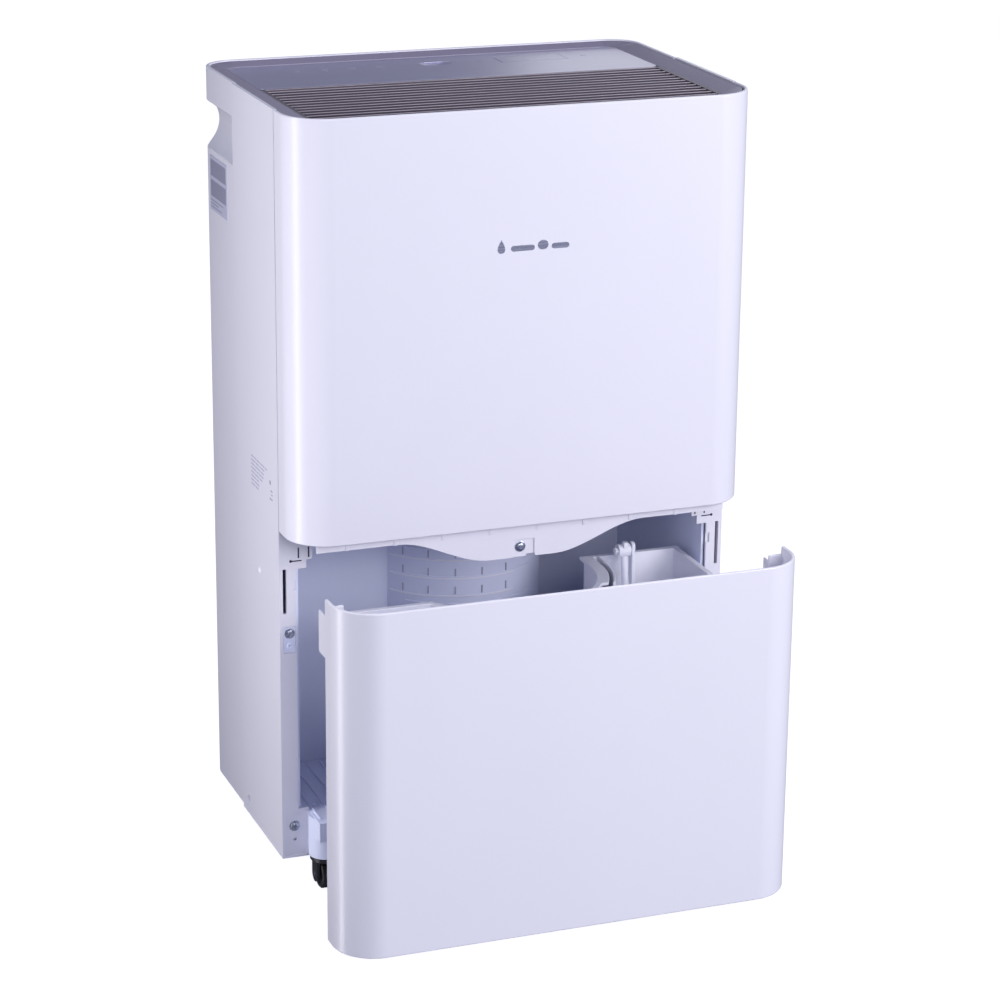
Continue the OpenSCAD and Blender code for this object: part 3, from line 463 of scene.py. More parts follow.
def make_black_plastic():
    return moulded("black_plastic", from_screen(34, 34, 38), 0.45, 0.02, 0.12)


def make_wheel_black():
    return moulded("wheel_black", from_screen(26, 26, 30), 0.55, 0.03, 0.15)


def make_rubber():
    """Matt black rubber with a dusty bloom."""
    paint = Paint("rubber")
    bloom = paint.noise(80, 4)
    grain = paint.noise(1600, 2)
    base = paint.mix(bloom, from_screen(20, 20, 22), from_screen(44, 43, 46))
    return paint.finish(colour=base, rough=0.75 + (bloom - 0.5) * 0.15, normal=paint.bump(grain, 0.03 * MM))


def make_black_enamel():
    """Baked black enamel with an orange-peel surface."""
    paint = Paint("black_enamel")
    peel = paint.noise(260, 2)
    cloud = paint.noise(20, 3)
    base = paint.mix(cloud, from_screen(18, 18, 20), from_screen(34, 34, 38))
    return paint.finish(colour=base, rough=0.24 + (cloud - 0.5) * 0.1, coat=0.5, coat_rough=0.1,
                        normal=paint.bump(peel, 0.04 * MM))


def make_void_black():
    """The unlit inside of a slit or a hole."""
    paint = Paint("void_black")
    grain = paint.noise(500, 1)
    base = paint.mix(grain, from_screen(46, 46, 66), from_screen(60, 60, 84))
    return paint.finish(colour=base, rough=0.8 + (grain - 0.5) * 0.1, normal=paint.bump(grain, 0.01 * MM))


def make_floor_white():
    """A pale studio floor that glows a little, as a lit table does, so that its shadows stay faint."""
    paint = Paint("floor_white")
    cloud = paint.noise(3, 3)
    base = paint.mix(cloud, (0.29, 0.29, 0.31), (0.31, 0.31, 0.33))
    return paint.finish(colour=base, rough=0.9, specular=0.0, glow=(0.92, 0.92, 0.96, 1), glow_power=1.0)


FINISH = {
    "shell_white": make_shell_white(),
    "inner_white": make_inner_white(),
    "tub_plastic": make_tub_plastic(),
    "frame_grey": make_frame_grey(),
    "slat_bronze": make_slat_bronze(),
    "panel_silver": make_panel_silver(),
    "window_smoke": make_window_smoke(),
    "black_plastic": make_black_plastic(),
    "black_enamel": make_black_enamel(),
    "steel": make_steel(),
    "copper": make_copper(),
    "fin_aluminium": make_fins(),
    "board_green": make_board(),
    "mesh_grey": make_mesh_grey(),
    "rubber": make_rubber(),
    "wheel_black": make_wheel_black(),
    "label_grey": make_label_paper(),
}
ICON_INK = make_icon_ink()
BADGE_METAL = make_badge_metal()
PRINT_GREY = make_print_grey()
FAINT_PRINT_AND_SHADE = make_faint_print_and_shade()
VOID_BLACK = make_void_black()


# ---------- Mesh tools ----------


def place(mesh_or_bm, name, material, body, slot):
    """Makes a finished piece: a mesh object at the origin that rides on a body."""
    if isinstance(mesh_or_bm, bmesh.types.BMesh):
        mesh = bpy.data.meshes.new(name)
        mesh_or_bm.to_mesh(mesh)
        mesh_or_bm.free()
    else:
        mesh = mesh_or_bm
        mesh.name = name
    mesh.materials.clear()
    mesh.materials.append(material)
    for face in mesh.polygons:
        face.material_index = 0
    piece = bpy.data.objects.new(name, mesh)
    bpy.context.scene.collection.objects.link(piece)
    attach(piece, body)
    return piece


def smooth(bm, angle=34):
    """Shades faces smoothly and marks the edges sharper than an angle."""
    for face in bm.faces:
        face.smooth = True
    limit = math.radians(angle)
    for edge in bm.edges:
        edge.smooth = len(edge.link_faces) == 2 and edge.calc_face_angle(0) < limit


def weighted(mesh):
    """The mesh with normals that follow its large faces, so that flat walls stay flat."""
    scratch = bpy.data.objects.new("scratch", mesh)
    bpy.context.scene.collection.objects.link(scratch)
    modifier = scratch.modifiers.new("normals", "WEIGHTED_NORMAL")
    modifier.keep_sharp = True
    modifier.weight = 90
    graph = bpy.context.evaluated_depsgraph_get()
    made = bpy.data.meshes.new_from_object(scratch.evaluated_get(graph), depsgraph=graph)
    bpy.data.objects.remove(scratch)
    return made


def round_edges(bm, width, segments=2, angle=38):
    """Rounds the outer edges that are sharper than an angle, and marks the new faces as edge."""
    layer = bm.faces.layers.float.get("edge") or bm.faces.layers.float.new("edge")
    limit = math.radians(angle)
    sharp = [
        e for e in bm.edges
        if len(e.link_faces) == 2 and e.is_convex and e.calc_face_angle(0) > limit
    ]
    made = bmesh.ops.bevel(
        bm, geom=sharp, offset=width, offset_type="OFFSET", segments=segments, profile=0.5,
        affect="EDGES", clamp_overlap=False, miter_outer="SHARP",
    )
    for face in made["faces"]:
        face[layer] = 1.0


def copied(node):
    """A merged copy of a CAD node's mesh, its flat faces joined up."""
    bm = bmesh.new()
    bm.from_mesh(NODES[node].data)
    bmesh.ops.remove_doubles(bm, verts=bm.verts, dist=0.03 * MM)
    bmesh.ops.dissolve_degenerate(bm, dist=0.02 * MM, edges=bm.edges)
    bmesh.ops.dissolve_limit(
        bm, angle_limit=math.radians(0.4), verts=bm.verts, edges=bm.edges, use_dissolve_boundaries=False
    )
    return bm


def finish_bm(bm, name, material, body, slot, flat_angle=34):
    smooth(bm, flat_angle)
    mesh = bpy.data.meshes.new(name)
    bm.to_mesh(mesh)
    bm.free()
    return place(weighted(mesh), name, material, body, slot)


def refined(node, width, segments=2, name=None, material=None):
    """A copy of a CAD node with rounded edges, which stands for the node."""
    bm = copied(node)
    if width:
        round_edges(bm, width * MM, segments)
    slot = SLOT_OF[node]
    piece = finish_bm(bm, name or node + "_skin", material or FINISH[slot], BODY_OF[node], slot)
    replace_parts(piece, node)
    return piece


def add_box(bm, low, high, width=0.3):
    """A box with rounded edges, between two corners in metres, added to a mesh."""
    made = bmesh.ops.create_cube(bm, size=1)
    size = Vector(high) - Vector(low)
    for vert in made["verts"]:
        vert.co = Vector(low) + Vector((vert.co[i] + 0.5) * size[i] for i in range(3))
    if width:
        edges = list({e for v in made["verts"] for e in v.link_edges})
        layer = bm.faces.layers.float.get("edge") or bm.faces.layers.float.new("edge")
        done = bmesh.ops.bevel(
            bm, geom=edges, offset=width * MM, offset_type="OFFSET", segments=2, profile=0.5,
            affect="EDGES", clamp_overlap=True,
        )
        for face in done["faces"]:
            face[layer] = 1.0


def add_lathe(bm, profile, centre, axis, steps=32):
    """A turned shape: (radius, distance along the axis) points, from one end to the other, in mm."""
    direction = Vector(axis).normalized()
    side = direction.orthogonal().normalized()
    third = direction.cross(side)
    rings = []
    for radius, along in profile:
        spot = Vector(centre) + direction * along * MM
        if radius == 0:
            rings.append([bm.verts.new(spot)])
            continue
        ring = []
        for i in range(steps):
            turn = 2 * math.pi * i / steps
            ring.append(bm.verts.new(
                spot + (side * math.cos(turn) + third * math.sin(turn)) * radius * MM
            ))
        rings.append(ring)
    faces = []
    for a, b in zip(rings, rings[1:]):
        for i in range(steps):
            j = (i + 1) % steps
            if len(a) == 1:
                corner = (a[0], b[j], b[i])
            elif len(b) == 1:
                corner = (a[i], a[j], b[0])
            else:
                corner = (a[i], a[j], b[j], b[i])
            faces.append(bm.faces.new(corner))
    bmesh.ops.recalc_face_normals(bm, faces=faces)


def extrude_outline(bm, points, start, step):
    """A prism: an outline of points, moved by a step."""
    low = [bm.verts.new(Vector(p) + Vector(start)) for p in points]
    high = [bm.verts.new(Vector(p) + Vector(start) + Vector(step)) for p in points]
    faces = [bm.faces.new(low), bm.faces.new(reversed(high))]
    for i in range(len(points)):
        j = (i + 1) % len(points)
        faces.append(bm.faces.new((low[j], low[i], high[i], high[j])))
    bmesh.ops.recalc_face_normals(bm, faces=faces)


# ---------- Repeated shapes ----------


class Pattern(Graph):
    """A Geometry Nodes tree with named inputs, which ends in realized copies with one finish."""

    def __init__(self, name, **inputs):
        self.tree = bpy.data.node_groups.new(name, "GeometryNodeTree")
        face = self.tree.interface
        for label, kind in {**inputs, "Item": "Object", "Finish": "Material"}.items():
            face.new_socket(label, in_out="INPUT", socket_type="NodeSocket" + kind)
        face.new_socket("Geometry", in_out="OUTPUT", socket_type="NodeSocketGeometry")
        self.given = self.node("NodeGroupInput").outputs

    def number(self, label):
        return Level(self, self.given[label])

    def item(self):
        return self.node("GeometryNodeObjectInfo", values={"Object": self.given["Item"]}).outputs["Geometry"]

    def vector(self, x=0.0, y=0.0, z=0.0):
        return self.node("ShaderNodeCombineXYZ", values={0: x, 1: y, 2: z}).outputs[0]

    def copies(self, points, **values):
        """Copies of the item on points, realized, with the finish: the end of the tree."""
        spread = self.node(
            "GeometryNodeInstanceOnPoints", values={"Points": points, "Instance": self.item(), **values}
        )
        real = self.node("GeometryNodeRealizeInstances", values={"Geometry": spread.outputs[0]})
        done = self.node(
            "GeometryNodeSetMaterial",
            values={"Geometry": real.outputs[0], "Material": self.given["Finish"]},
        )
        self.node("NodeGroupOutput", values={"Geometry": done.outputs[0]})

    def grow(self, item, **values):
        """The tree's result for these inputs, as a plain mesh. The item is a mesh under construction."""
        smooth(item)
        mesh = bpy.data.meshes.new("item")
        item.to_mesh(mesh)
        item.free()
        source = bpy.data.objects.new("item", mesh)
        holder = bpy.data.objects.new("holder", bpy.data.meshes.new("holder"))
        for made in (source, holder):
            bpy.context.scene.collection.objects.link(made)
        modifier = holder.modifiers.new("pattern", "NODES")
        modifier.node_group = self.tree
        values["Item"] = source
        for socket in self.tree.interface.items_tree:
            if socket.in_out == "INPUT" and socket.name in values:
                modifier[socket.identifier] = values[socket.name]
        graph = bpy.context.evaluated_depsgraph_get()
        done = bpy.data.meshes.new_from_object(holder.evaluated_get(graph), depsgraph=graph)
        holder.modifiers.clear()
        for made in (holder, source):
            bpy.data.objects.remove(made)
        return done


def row_pattern():
    """Copies along a straight line."""
    made = Pattern("row", Count="Int", Start="Vector", Step="Vector")
    line = made.node(
        "GeometryNodeMeshLine", {"mode": "OFFSET"},
        {"Count": made.given["Count"], "Start Location": made.given["Start"], "Offset": made.given["Step"]},
    )
    made.copies(line.outputs[0])
    return made


def ring_pattern():
    """Copies round an axis along X, each turned to face outwards."""
    made = Pattern("ring", Count="Int", Centre="Vector", Turn="Float")
    line = made.node("GeometryNodeMeshLine", {"mode": "OFFSET"},
                     {"Count": made.given["Count"], "Start Location": made.given["Centre"],
                      "Offset": (0, 0, 0)})
    index = Level(made, made.node("GeometryNodeInputIndex").outputs[0])
    made.copies(line.outputs[0], Rotation=made.vector(x=index * made.number("Turn")))
    return made


def arc_pattern():
    """Copies round an upright axis, from one angle on, each turned to face outwards."""
    made = Pattern("arc", Count="Int", Centre="Vector", First="Float", Turn="Float")
    line = made.node("GeometryNodeMeshLine", {"mode": "OFFSET"},
                     {"Count": made.given["Count"], "Start Location": made.given["Centre"],
                      "Offset": (0, 0, 0)})
    index = Level(made, made.node("GeometryNodeInputIndex").outputs[0])
    angle = made.number("First") + index * made.number("Turn")
    made.copies(line.outputs[0], Rotation=made.vector(z=angle))
    return made


def slat_pattern():
    """Slats from front to back in an opening with round front corners, each cut to the width there."""
    made = Pattern("slats", Count="Int", Front="Float", Pitch="Float", Height="Float", Corner="Float",
                   Half="Float")
    index = Level(made, made.node("GeometryNodeInputIndex").outputs[0])
    depth = (index + 0.5) * made.number("Pitch")
    corner = made.number("Corner")
    inside = (corner - depth).math("MAXIMUM", corner - depth, 0)
    cut = corner - (corner * corner - inside * inside) ** 0.5
    width = (made.number("Half") - cut) / made.number("Half")
    line = made.node(
        "GeometryNodeMeshLine", {"mode": "OFFSET"},
        {
            "Count": made.given["Count"],
            "Start Location": made.vector(y=made.number("Front") + made.number("Pitch") * 0.5,
                                          z=made.number("Height")),
            "Offset": made.vector(y=made.number("Pitch")),
        },
    )
    made.copies(line.outputs[0], Scale=made.vector(x=width, y=1.0, z=1.0))
    return made


def screw_pattern():
    """Screws on marked points: each is turned about the upright axis to face its way, and its
    driving cross is left at a chance angle."""
    made = Pattern("screws", Points="Object", Seed="Int")
    marks = made.node("GeometryNodeObjectInfo", values={"Object": made.given["Points"]}).outputs["Geometry"]
    facing = made.node("GeometryNodeInputNamedAttribute", {"data_type": "FLOAT"}, {"Name": "facing"})
    chance = made.node(
        "FunctionNodeRandomValue", {"data_type": "FLOAT"},
        {"Min": 0.0, "Max": math.pi / 2, "Seed": made.given["Seed"]},
    )
    turn = [s for s in chance.outputs if s.type == "VALUE"][0]
    made.copies(marks, Rotation=made.vector(y=turn, z=facing.outputs[0]))
    return made


ROW = row_pattern()
RING = ring_pattern()
ARC = arc_pattern()
SLATS = slat_pattern()
SCREWS = screw_pattern()


def new_mesh():
    bm = bmesh.new()
    bm.faces.layers.float.new("edge")
    return bm


def carve(bm, cutter):
    """The first shape with the second taken away."""
    objects = []
    for shape in (bm, cutter):
        mesh = bpy.data.meshes.new("carve")
        shape.to_mesh(mesh)
        shape.free()
        objects.append(bpy.data.objects.new("carve", mesh))
        bpy.context.scene.collection.objects.link(objects[-1])
    modifier = objects[0].modifiers.new("carve", "BOOLEAN")
    modifier.object = objects[1]
    modifier.operation = "DIFFERENCE"
    modifier.solver = "EXACT"
    graph = bpy.context.evaluated_depsgraph_get()
    cut = bpy.data.meshes.new_from_object(objects[0].evaluated_get(graph), depsgraph=graph)
    for made in objects:
        bpy.data.objects.remove(made)
    done = new_mesh()
    done.from_mesh(cut)
    return done


# ---------- Casing ----------

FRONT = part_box("front_panel")
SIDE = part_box("left_side_panel")
HALF = FRONT[1].x
SILL = FRONT[0].z
FLANGE_FACE = SIDE[0].y


def make_casing():
    refined("front_panel", 1.2, 3)
    refined("left_side_panel", 0)
    refined("right_side_panel", 0)
    refined("rear_cover", 0.8, 3)
    refined("fascia", 0.4)


def make_badge():
    """A generic drop, two bars and a round dot in place of a name."""
    bm = new_mesh()
    centre = Vector((1 * MM, FRONT[0].y, 547 * MM))
    out = Vector((0, -0.5 * MM, 0))
    drop = []
    for i in range(28):
        turn = 2 * math.pi * i / 28
        pinch = math.sin(turn / 2) ** 1.4
        drop.append(Vector((4.4 * math.sin(turn) * pinch, 0.2, 5.6 * math.cos(turn))) * MM)
    extrude_outline(bm, drop, centre + Vector((-26.5, 0, 0.6)) * MM, out)
    left = -18.5
    for length, height, lift in ((20, 4.6, -1.6), (9, 7.6, -0.1), (15, 4.6, -1.6)):
        bar = rounded_bar(length, height)
        extrude_outline(bm, bar, centre + Vector((left + length / 2, 0.2, lift)) * MM, out)
        left += length + 2.6
    round_edges(bm, 0.12 * MM, 1)
    finish_bm(bm, "front_badge", BADGE_METAL, "cabinet", "steel")


def rounded_bar(length, height, steps=6):
    """The outline of a bar with round ends, across X and up Z, in metres."""
    r = height / 2
    run = length / 2 - r
    points = []
    for end, start in ((1, -90), (-1, 90)):
        for i in range(steps + 1):
            turn = math.radians(start + 180 * i / steps)
            points.append(Vector((end * run + r * math.cos(turn), 0, r * math.sin(turn))) * MM)
    return points


def make_sill_tabs():
    """Small snap tabs along the fascia, just under the sill."""
    tab = new_mesh()
    add_box(tab, Vector((-1.7, -0.5, -7)) * MM, Vector((1.7, 0.2, 0)) * MM, 0.2)
    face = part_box("fascia")[0].y
    count, first, pitch = 8, -151, 40.6
    mesh = ROW.grow(
        tab, Count=count, Start=Vector((first * MM, face, SILL - 0.2 * MM)),
        Step=Vector((pitch * MM, 0, 0)), Finish=FINISH["shell_white"],
    )
    place(mesh, "sill_tabs", FINISH["shell_white"], "cabinet", "shell_white")


def make_flange_details(side, label):
    """Snap slits, the screw pad's plate and its peg boss on one side flange."""
    bm = new_mesh()
    y = FLANGE_FACE
    # Painted shade: the slits and the round hole are thin dark boxes and a dark disc in the void-black
    # colour, standing for their unlit insides.
    slits = (((176, 185), (288.3, 289.3)), ((178, 179.2), (291, 300)), ((169.4, 170.6), (291, 300)))
    for (x0, x1), (z0, z1) in slits:
        xs = sorted((side * x0 * MM, side * x1 * MM))
        add_box(bm, (xs[0], y - 0.15 * MM, z0 * MM), (xs[1], y + 0.5 * MM, z1 * MM), 0.08)
    add_lathe(bm, ((0, 0.15), (0.9, 0.15), (1.2, 0), (1.2, -0.5), (0, -0.5)),
              (side * 185.2 * MM, y, 288.9 * MM), (0, -1, 0), 16)
    finish_bm(bm, "flange_slits_" + label, VOID_BLACK, "cabinet", "shell_white")

    plate = new_mesh()
    xs = sorted((side * 181.7 * MM, side * 191.6 * MM))
    pad = y + 1 * MM
    add_box(plate, (xs[0], pad - 0.5 * MM, 210.6 * MM), (xs[1], pad + 0.2 * MM, 232.4 * MM), 0.25)
    add_lathe(plate, ((1.3, 0.4), (1.3, 1.3), (1.9, 1.5), (2.4, 1.3), (2.6, 0.4)),
              (side * 186.5 * MM, pad, 216.5 * MM), (0, -1, 0), 24)
    finish_bm(plate, "screw_plate_" + label, FINISH["inner_white"], "cabinet", "inner_white")


def make_side_details():
    """A moulded pip and a fine part line low on the left side."""
    bm = new_mesh()
    add_lathe(bm, ((0, 1.1), (1.2, 1.0), (2.2, 0.6), (2.9, 0.1), (3.2, -0.3), (0, -0.4)),
              (-HALF, 31 * MM, 264 * MM), (-1, 0, 0), 28)
    add_box(bm, (-HALF - 0.15 * MM, 9 * MM, 314.7 * MM), (-HALF + 0.2 * MM, 44 * MM, 315.2 * MM), 0.05)
    finish_bm(bm, "side_pip", FINISH["shell_white"], "cabinet", "shell_white")


def make_notice():
    """Rows of plain dashes and a plain sign in place of printed text, low on the left side."""
    proud = 0.06 * MM
    sunk = 0.2 * MM
    dash_tall, gap, row_pitch = 1.2, 1.4, 3.4
    bm = new_mesh()
    x = -HALF
    z = 358.5
    for lengths in (
        (8, 5, 9, 12, 6), (12, 9, 14), (10, 14, 9), (14, 6, 12), (9, 12, 8), (13, 7), (8, 13), (11, 8),
    ):
        y = 50
        for length in lengths:
            add_box(bm, (x - proud, (y - length) * MM, (z - dash_tall) * MM), (x + sunk, y * MM, z * MM), 0)
            y -= length + gap
        z -= row_pitch
    finish_bm(bm, "notice_lines", FAINT_PRINT_AND_SHADE, "cabinet", "label_grey")

    sign = new_mesh()
    add_lathe(sign, ((0, 0.06), (1.9, 0.06), (1.9, -0.2), (0, -0.2)), (x, -4 * MM, 350 * MM),
              (-1, 0, 0), 20)
    for z0, length in ((343, 5), (340, 3), (336, 8)):
        add_box(sign, (x - proud, -10 * MM, z0 * MM), (x + sunk, (length - 10) * MM, (z0 + 1) * MM), 0)
    finish_bm(sign, "notice_sign", PRINT_GREY, "cabinet", "label_grey")


def make_rating_label():
    """A plain plate with two grey fields and thin rules, with nothing written on it."""
    low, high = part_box("rating_label")
    refined("rating_label", 0.12, 1)
    bm = new_mesh()
    x = low.x
    span = high.y - low.y
    tall = high.z - low.z
    for top, size in ((0.93, 0.3), (0.56, 0.3)):
        add_box(bm, (x - 0.06 * MM, low.y + 0.05 * span, low.z + (top - size) * tall),
                (x + 0.1 * MM, high.y - 0.05 * span, low.z + top * tall), 0)
    for top, part in ((0.2, 0.8), (0.14, 0.5), (0.08, 0.7)):
        add_box(bm, (x - 0.06 * MM, low.y + (0.95 - part * 0.9) * span, low.z + top * tall - 1 * MM),
                (x + 0.1 * MM, high.y - 0.05 * span, low.z + top * tall), 0)
    finish_bm(bm, "rating_label_fields", PRINT_GREY, "cabinet", "label_grey")


# ---------- Top ----------


def make_top():
    refined("top_frame", 0.5)
    refined("control_panel", 0.4)
    refined("power_button", 0.5, 3)
    refined("display_window", 0.15, 1)


def make_louvre():
    """The rim from the CAD outline, with thin rounded slats in place of the plain ones."""
    low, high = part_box("outlet_louvre")
    rim = 3 * MM
    outer_corner = 13.5 * MM
    corner = outer_corner - rim
    half = high.x - rim
    count = 13
    pitch = (high.y - low.y - 2 * rim) / count
    slat = new_mesh()
    lean = math.radians(28)
    outline = []
    thick, tall = 1.0, 4.9
    for turn in range(0, 360, 30):
        a = math.radians(turn)
        across = thick * math.cos(a)
        up = tall * math.copysign(abs(math.sin(a)) ** 0.55, math.sin(a))
        outline.append(Vector((0, across * math.cos(lean) - up * math.sin(lean),
                               across * math.sin(lean) + up * math.cos(lean))) * MM)
    extrude_outline(slat, outline, (-half - 0.4 * MM, 0, 0), (2 * half + 0.8 * MM, 0, 0))
    # Painted highlight: the slat's top faces are marked as edge, so the slat finish paints them light.
    layer = slat.faces.layers.float["edge"]
    slat.faces.ensure_lookup_table()
    for face in slat.faces:
        if face.calc_center_median().z > 4.0 * MM:
            face[layer] = 1.0
    mesh = SLATS.grow(
        slat, Count=count, Front=low.y + rim, Pitch=pitch, Height=high.z - 4.7 * MM, Corner=corner,
        Half=half, Finish=FINISH["slat_bronze"],
    )
    place(mesh, "louvre_slats", FINISH["slat_bronze"], "cabinet", "slat_bronze")
    frame_mesh = new_mesh()
    outer = round_plan(low.x, high.x, low.y, high.y, outer_corner, 5 * MM)
    inner = round_plan(low.x + rim, high.x - rim, low.y + rim, high.y - rim, corner, 2 * MM)
    ring_wall(frame_mesh, outer, inner, low.z, high.z)
    for share in (-0.5, 0, 0.5):
        x = share * half
        add_box(frame_mesh, (x - 1 * MM, low.y + 1 * MM, low.z),
                (x + 1 * MM, high.y - 1 * MM, low.z + 2.6 * MM))
    round_edges(frame_mesh, 0.4 * MM)
    rim_piece = finish_bm(frame_mesh, "louvre_rim", FINISH["slat_bronze"], "cabinet", "slat_bronze")
    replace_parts(rim_piece, "outlet_louvre")


def round_plan(x0, x1, y0, y1, front, rear, steps=8):
    """A rounded rectangle seen from above, as points in order."""
    points = []
    for cx, cy, r, start in (
        (x1 - front, y0 + front, front, -90), (x1 - rear, y1 - rear, rear, 0),
        (x0 + rear, y1 - rear, rear, 90), (x0 + front, y0 + front, front, 180),
    ):
        for i in range(steps + 1):
            a = math.radians(start + 90 * i / steps)
            points.append((cx + r * math.cos(a), cy + r * math.sin(a)))
    return points


def ring_wall(bm, outer, inner, low, high):
    """An upright wall between two outlines with as many points each."""
    rings = [[bm.verts.new((x, y, z)) for x, y in line]
             for line, z in ((outer, low), (outer, high), (inner, high), (inner, low))]
    faces = []
    count = len(outer)
    for a, b in zip(rings, rings[1:] + rings[:1]):
        for i in range(count):
            j = (i + 1) % count
            faces.append(bm.faces.new((a[i], a[j], b[j], b[i])))
    bmesh.ops.recalc_face_normals(bm, faces=faces)


def make_icons():
    """Faint plain signs on the control panel: rings, dots, short bars and two arrows."""
    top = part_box("control_panel")[1].z
    foot = top - 0.02 * MM
    up = (0, 0, 1)
    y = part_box("power_button")[0].y + 7 * MM
    bm = new_mesh()
    for x in (-122, -98, -74, -50):
        add_lathe(bm, ((3.4, 0), (3.4, 0.08), (2.8, 0.08), (2.8, 0)), (x * MM, y, foot), up, 28)
        add_box(bm, ((x - 1.4) * MM, y - 0.4 * MM, foot),
                ((x + 1.4) * MM, y + 0.4 * MM, top + 0.06 * MM), 0)
        add_lathe(bm, ((0, 0), (0.9, 0), (0.9, 0.08), (0, 0.08)), (x * MM, y - 7 * MM, foot), up, 14)
    for x, way in ((38, -1), (132, 1)):
        arrow = [Vector((x - 3, way * -2, 0)) * MM, Vector((x + 3, way * -2, 0)) * MM,
                 Vector((x, way * 3, 0)) * MM]
        extrude_outline(bm, arrow, (0, y, foot), (0, 0, 0.08 * MM))
    finish_bm(bm, "panel_icons", ICON_INK, "cabinet", "panel_silver")


# ---------- Screws ----------

HEAD_TALL = 2.2


def make_screws():
    """Flanged pan-head screws with a driving cross, one on each CAD screw."""
    head = new_mesh()
    add_lathe(head, (
        (0, HEAD_TALL), (1.6, 2.12), (2.6, 1.85), (3.25, 1.3), (3.4, 0.75), (3.45, 0.6), (4.3, 0.55),
        (4.55, 0.4), (4.6, 0.2), (4.6, 0.0), (0, 0.0),
    ), (0, 0, 0), (0, -1, 0), 36)
    cross = new_mesh()
    add_box(cross, Vector((-2.0, -3, -0.38)) * MM, Vector((2.0, -0.9, 0.38)) * MM, 0)
    upright = new_mesh()
    add_box(upright, Vector((-0.38, -3, -2.0)) * MM, Vector((0.38, -0.9, 2.0)) * MM, 0)
    head = carve(carve(head, cross), upright)
    marks = bpy.data.meshes.new("marks")
    spots = screw_spots()
    marks.from_pydata([spot for spot, _ in spots], [], [])
    facing = marks.attributes.new("facing", "FLOAT", "POINT")
    facing.data.foreach_set("value", [turn for _, turn in spots])
    holder = bpy.data.objects.new("marks", marks)
    bpy.context.scene.collection.objects.link(holder)
    mesh = SCREWS.grow(head, Points=holder, Seed=5, Finish=FINISH["steel"])
    bpy.data.objects.remove(holder)
    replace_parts(place(mesh, "screw_heads", FINISH["steel"], "cabinet", "steel"), "case_screws")


def screw_spots():
    """The foot of each CAD screw's head, and how far the screw is turned from facing the front.
    The screws' shanks are told apart by walking over the loose parts of the CAD mesh."""
    bm = copied("case_screws")
    left = set(bm.verts)
    spots = []
    while left:
        part, edge = [], [left.pop()]
        while edge:
            vert = edge.pop()
            part.append(vert)
            for link in vert.link_edges:
                other = link.other_vert(vert)
                if other in left:
                    left.remove(other)
                    edge.append(other)
        ys = [v.co.y for v in part]
        middle = sum(ys) / len(ys)
        front = middle - min(ys) < max(ys) - middle
        foot = min(ys) + HEAD_TALL * MM if front else max(ys) - HEAD_TALL * MM
        x = (min(v.co.x for v in part) + max(v.co.x for v in part)) / 2
        z = (min(v.co.z for v in part) + max(v.co.z for v in part)) / 2
        spots.append(((x, foot, z), 0.0 if front else math.pi))
    bm.free()
    return sorted(spots)


# ---------- Bay and base ----------


def make_bay():
    refined("bay_liner", 0.6)
    refined("base_pan", 0.35)
    refined("drip_tray", 0.4)
    refined("bucket_switch", 0.4)


def make_bulge_marks():
    """Short bands and ticks moulded on the round wall that clears the compressor."""
    centre = Vector((0, 112 * MM, 0))
    radius = 78 * MM
    tick = new_mesh()
    add_box(tick, Vector((-0.6 * MM, -radius - 0.7 * MM, -3.4 * MM)),
            Vector((0.6 * MM, -radius + 1 * MM, 3.4 * MM)), 0.15)
    bands = new_mesh()
    steps = 22
    for z in (146, 170, 194, 218, 234, 250, 266, 282):
        low = []
        for i in range(steps + 1):
            a = math.radians(-150 + 84 * i / steps)
            low.append((math.cos(a), math.sin(a)))
        loop = [
            [bands.verts.new(centre + Vector((c * r * MM, s * r * MM, h * MM))) for c, s in low]
            for r, h in ((78.8, z), (78.8, z + 1.2), (77.4, z + 1.2), (77.4, z))
        ]
        faces = []
        for a, b in zip(loop, loop[1:] + loop[:1]):
            for i in range(steps):
                faces.append(bands.faces.new((a[i], a[i + 1], b[i + 1], b[i])))
        for end in (0, steps):
            faces.append(bands.faces.new([line[end] for line in loop]))
        bmesh.ops.recalc_face_normals(bands, faces=faces)
    finish_bm(bands, "bulge_bands", FINISH["tub_plastic"], "cabinet", "inner_white")
    joined = new_mesh()
    for z in (152, 176, 200, 224, 240, 256, 272):
        copy = tick.copy()
        mesh = ARC.grow(copy, Count=5, Centre=centre + Vector((0, 0, z * MM)), First=math.radians(-50),
                        Turn=math.radians(17), Finish=FINISH["inner_white"])
        joined.from_mesh(mesh)
    tick.free()
    # Painted shade: the moulded ticks take the faint print colour, darker than the wall, to stand for their
    # shading.
    finish_bm(joined, "bulge_ticks", FAINT_PRINT_AND_SHADE, "cabinet", "inner_white")


# ---------- Bucket ----------


def make_bucket():
    refined("bucket_panel", 1.2, 3)
    refined("bucket_tub", 0.7, 3)
    refined("float_lever", 0.5)
    refined("float_block", 1.5, 3)


# ---------- Casters ----------


def make_casters():
    for corner in ("fl", "fr", "rl", "rr"):
        refined("caster_fork_" + corner, 0.4)
        make_wheel(corner)


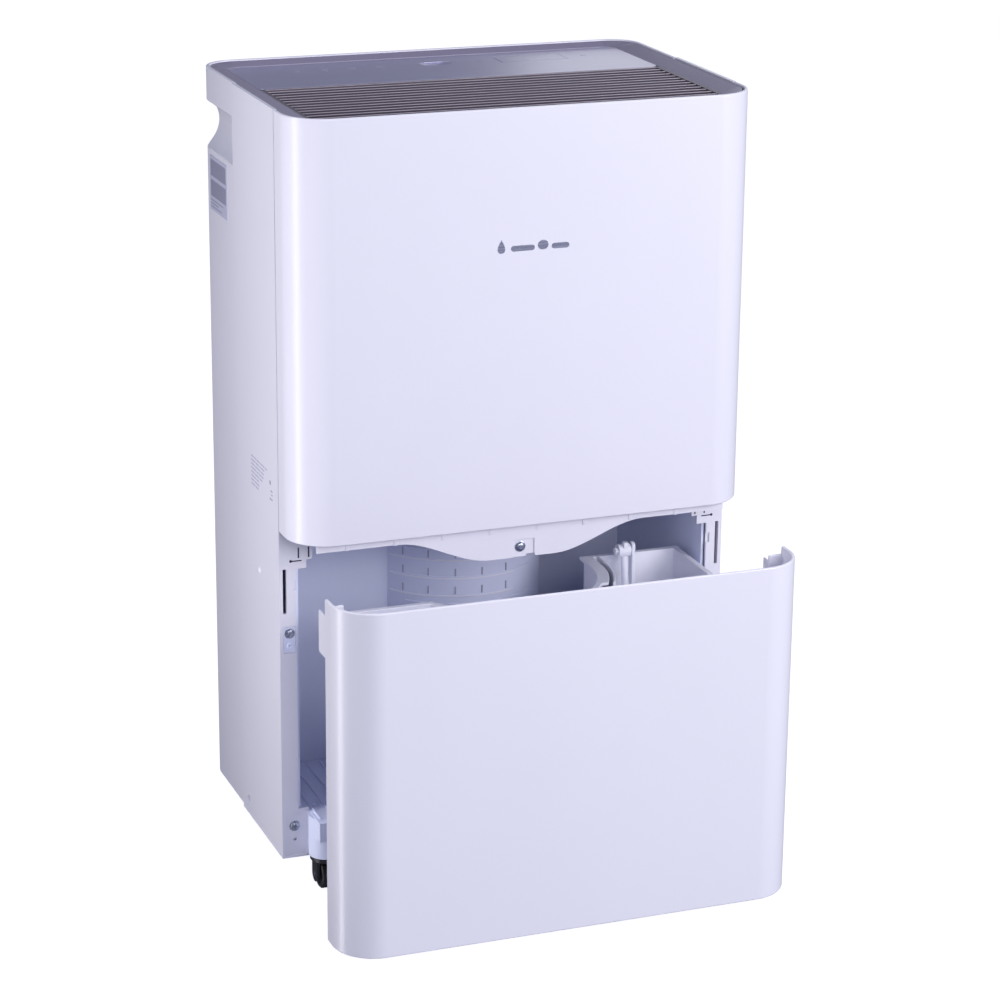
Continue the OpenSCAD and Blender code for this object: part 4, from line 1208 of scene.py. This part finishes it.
def make_wheel(corner):
    """A turned wheel with a dished hub and a ribbed tread."""
    low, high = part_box("caster_wheel_" + corner)
    centre = (low + high) / 2
    radius = (high.z - low.z) / 2 / MM
    half = (high.x - low.x) / 2 / MM
    bm = new_mesh()
    add_lathe(bm, (
        (2.1, -half), (4.6, -half), (5.2, -half + 1), (8.4, -half + 1.2), (9.0, -half), (radius - 1.3, -half),
        (radius - 0.6, -half + 0.7), (radius - 0.5, 0), (radius - 0.6, half - 0.7), (radius - 1.3, half),
        (9.0, half), (8.4, half - 1.2), (5.2, half - 1), (4.6, half), (2.1, half), (2.1, -half),
    ), centre, (1, 0, 0), 48)
    bmesh.ops.remove_doubles(bm, verts=bm.verts, dist=0.01 * MM)
    body = BODY_OF["caster_wheel_" + corner]
    wheel = finish_bm(bm, "wheel_" + corner, FINISH["wheel_black"], body, "wheel_black")
    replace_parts(wheel, "caster_wheel_" + corner)
    rib = new_mesh()
    add_box(rib, Vector((-half + 0.9, -0.7, radius - 0.8)) * MM, Vector((half - 0.9, 0.7, radius)) * MM, 0.15)
    count = 24
    mesh = RING.grow(rib, Count=count, Centre=centre, Turn=2 * math.pi / count, Finish=FINISH["rubber"])
    place(mesh, "tread_" + corner, FINISH["rubber"], body, "rubber")


# ---------- Rear ----------


def make_rear():
    refined("intake_grille", 0.35)
    refined("filter_frame", 0.4)
    refined("drain_outlet", 0.4)
    refined("cord_gland", 0.8, 3)


# ---------- Other CAD nodes and the floor ----------


def paint_cad_nodes():
    """Every CAD node that still shows takes its slot's finish."""
    for name, node in NODES.items():
        if node.hide_render:
            continue
        finish = FINISH[SLOT_OF[name]]
        if not node.data.materials:
            node.data.materials.append(finish)
        for slot in node.material_slots:
            slot.material = finish


def make_floor():
    bm = bmesh.new()
    size = 8.0
    for x, y in ((-size, -size), (size, -size), (size, size), (-size, size)):
        bm.verts.new((x, y, 0))
    bm.faces.new(bm.verts)
    mesh = bpy.data.meshes.new("floor")
    bm.to_mesh(mesh)
    bm.free()
    mesh.materials.append(make_floor_white())
    floor = bpy.data.objects.new("floor", mesh)
    bpy.context.scene.collection.objects.link(floor)
    floor.visible_diffuse = False
    floor.visible_glossy = False


make_camera()
make_lights()
make_sky()
make_floor()
make_casing()
make_badge()
make_sill_tabs()
for side, label in ((-1, "left"), (1, "right")):
    make_flange_details(side, label)
make_side_details()
make_notice()
make_rating_label()
make_top()
make_louvre()
make_icons()
make_screws()
make_bay()
make_bulge_marks()
make_bucket()
make_casters()
make_rear()
paint_cad_nodes()
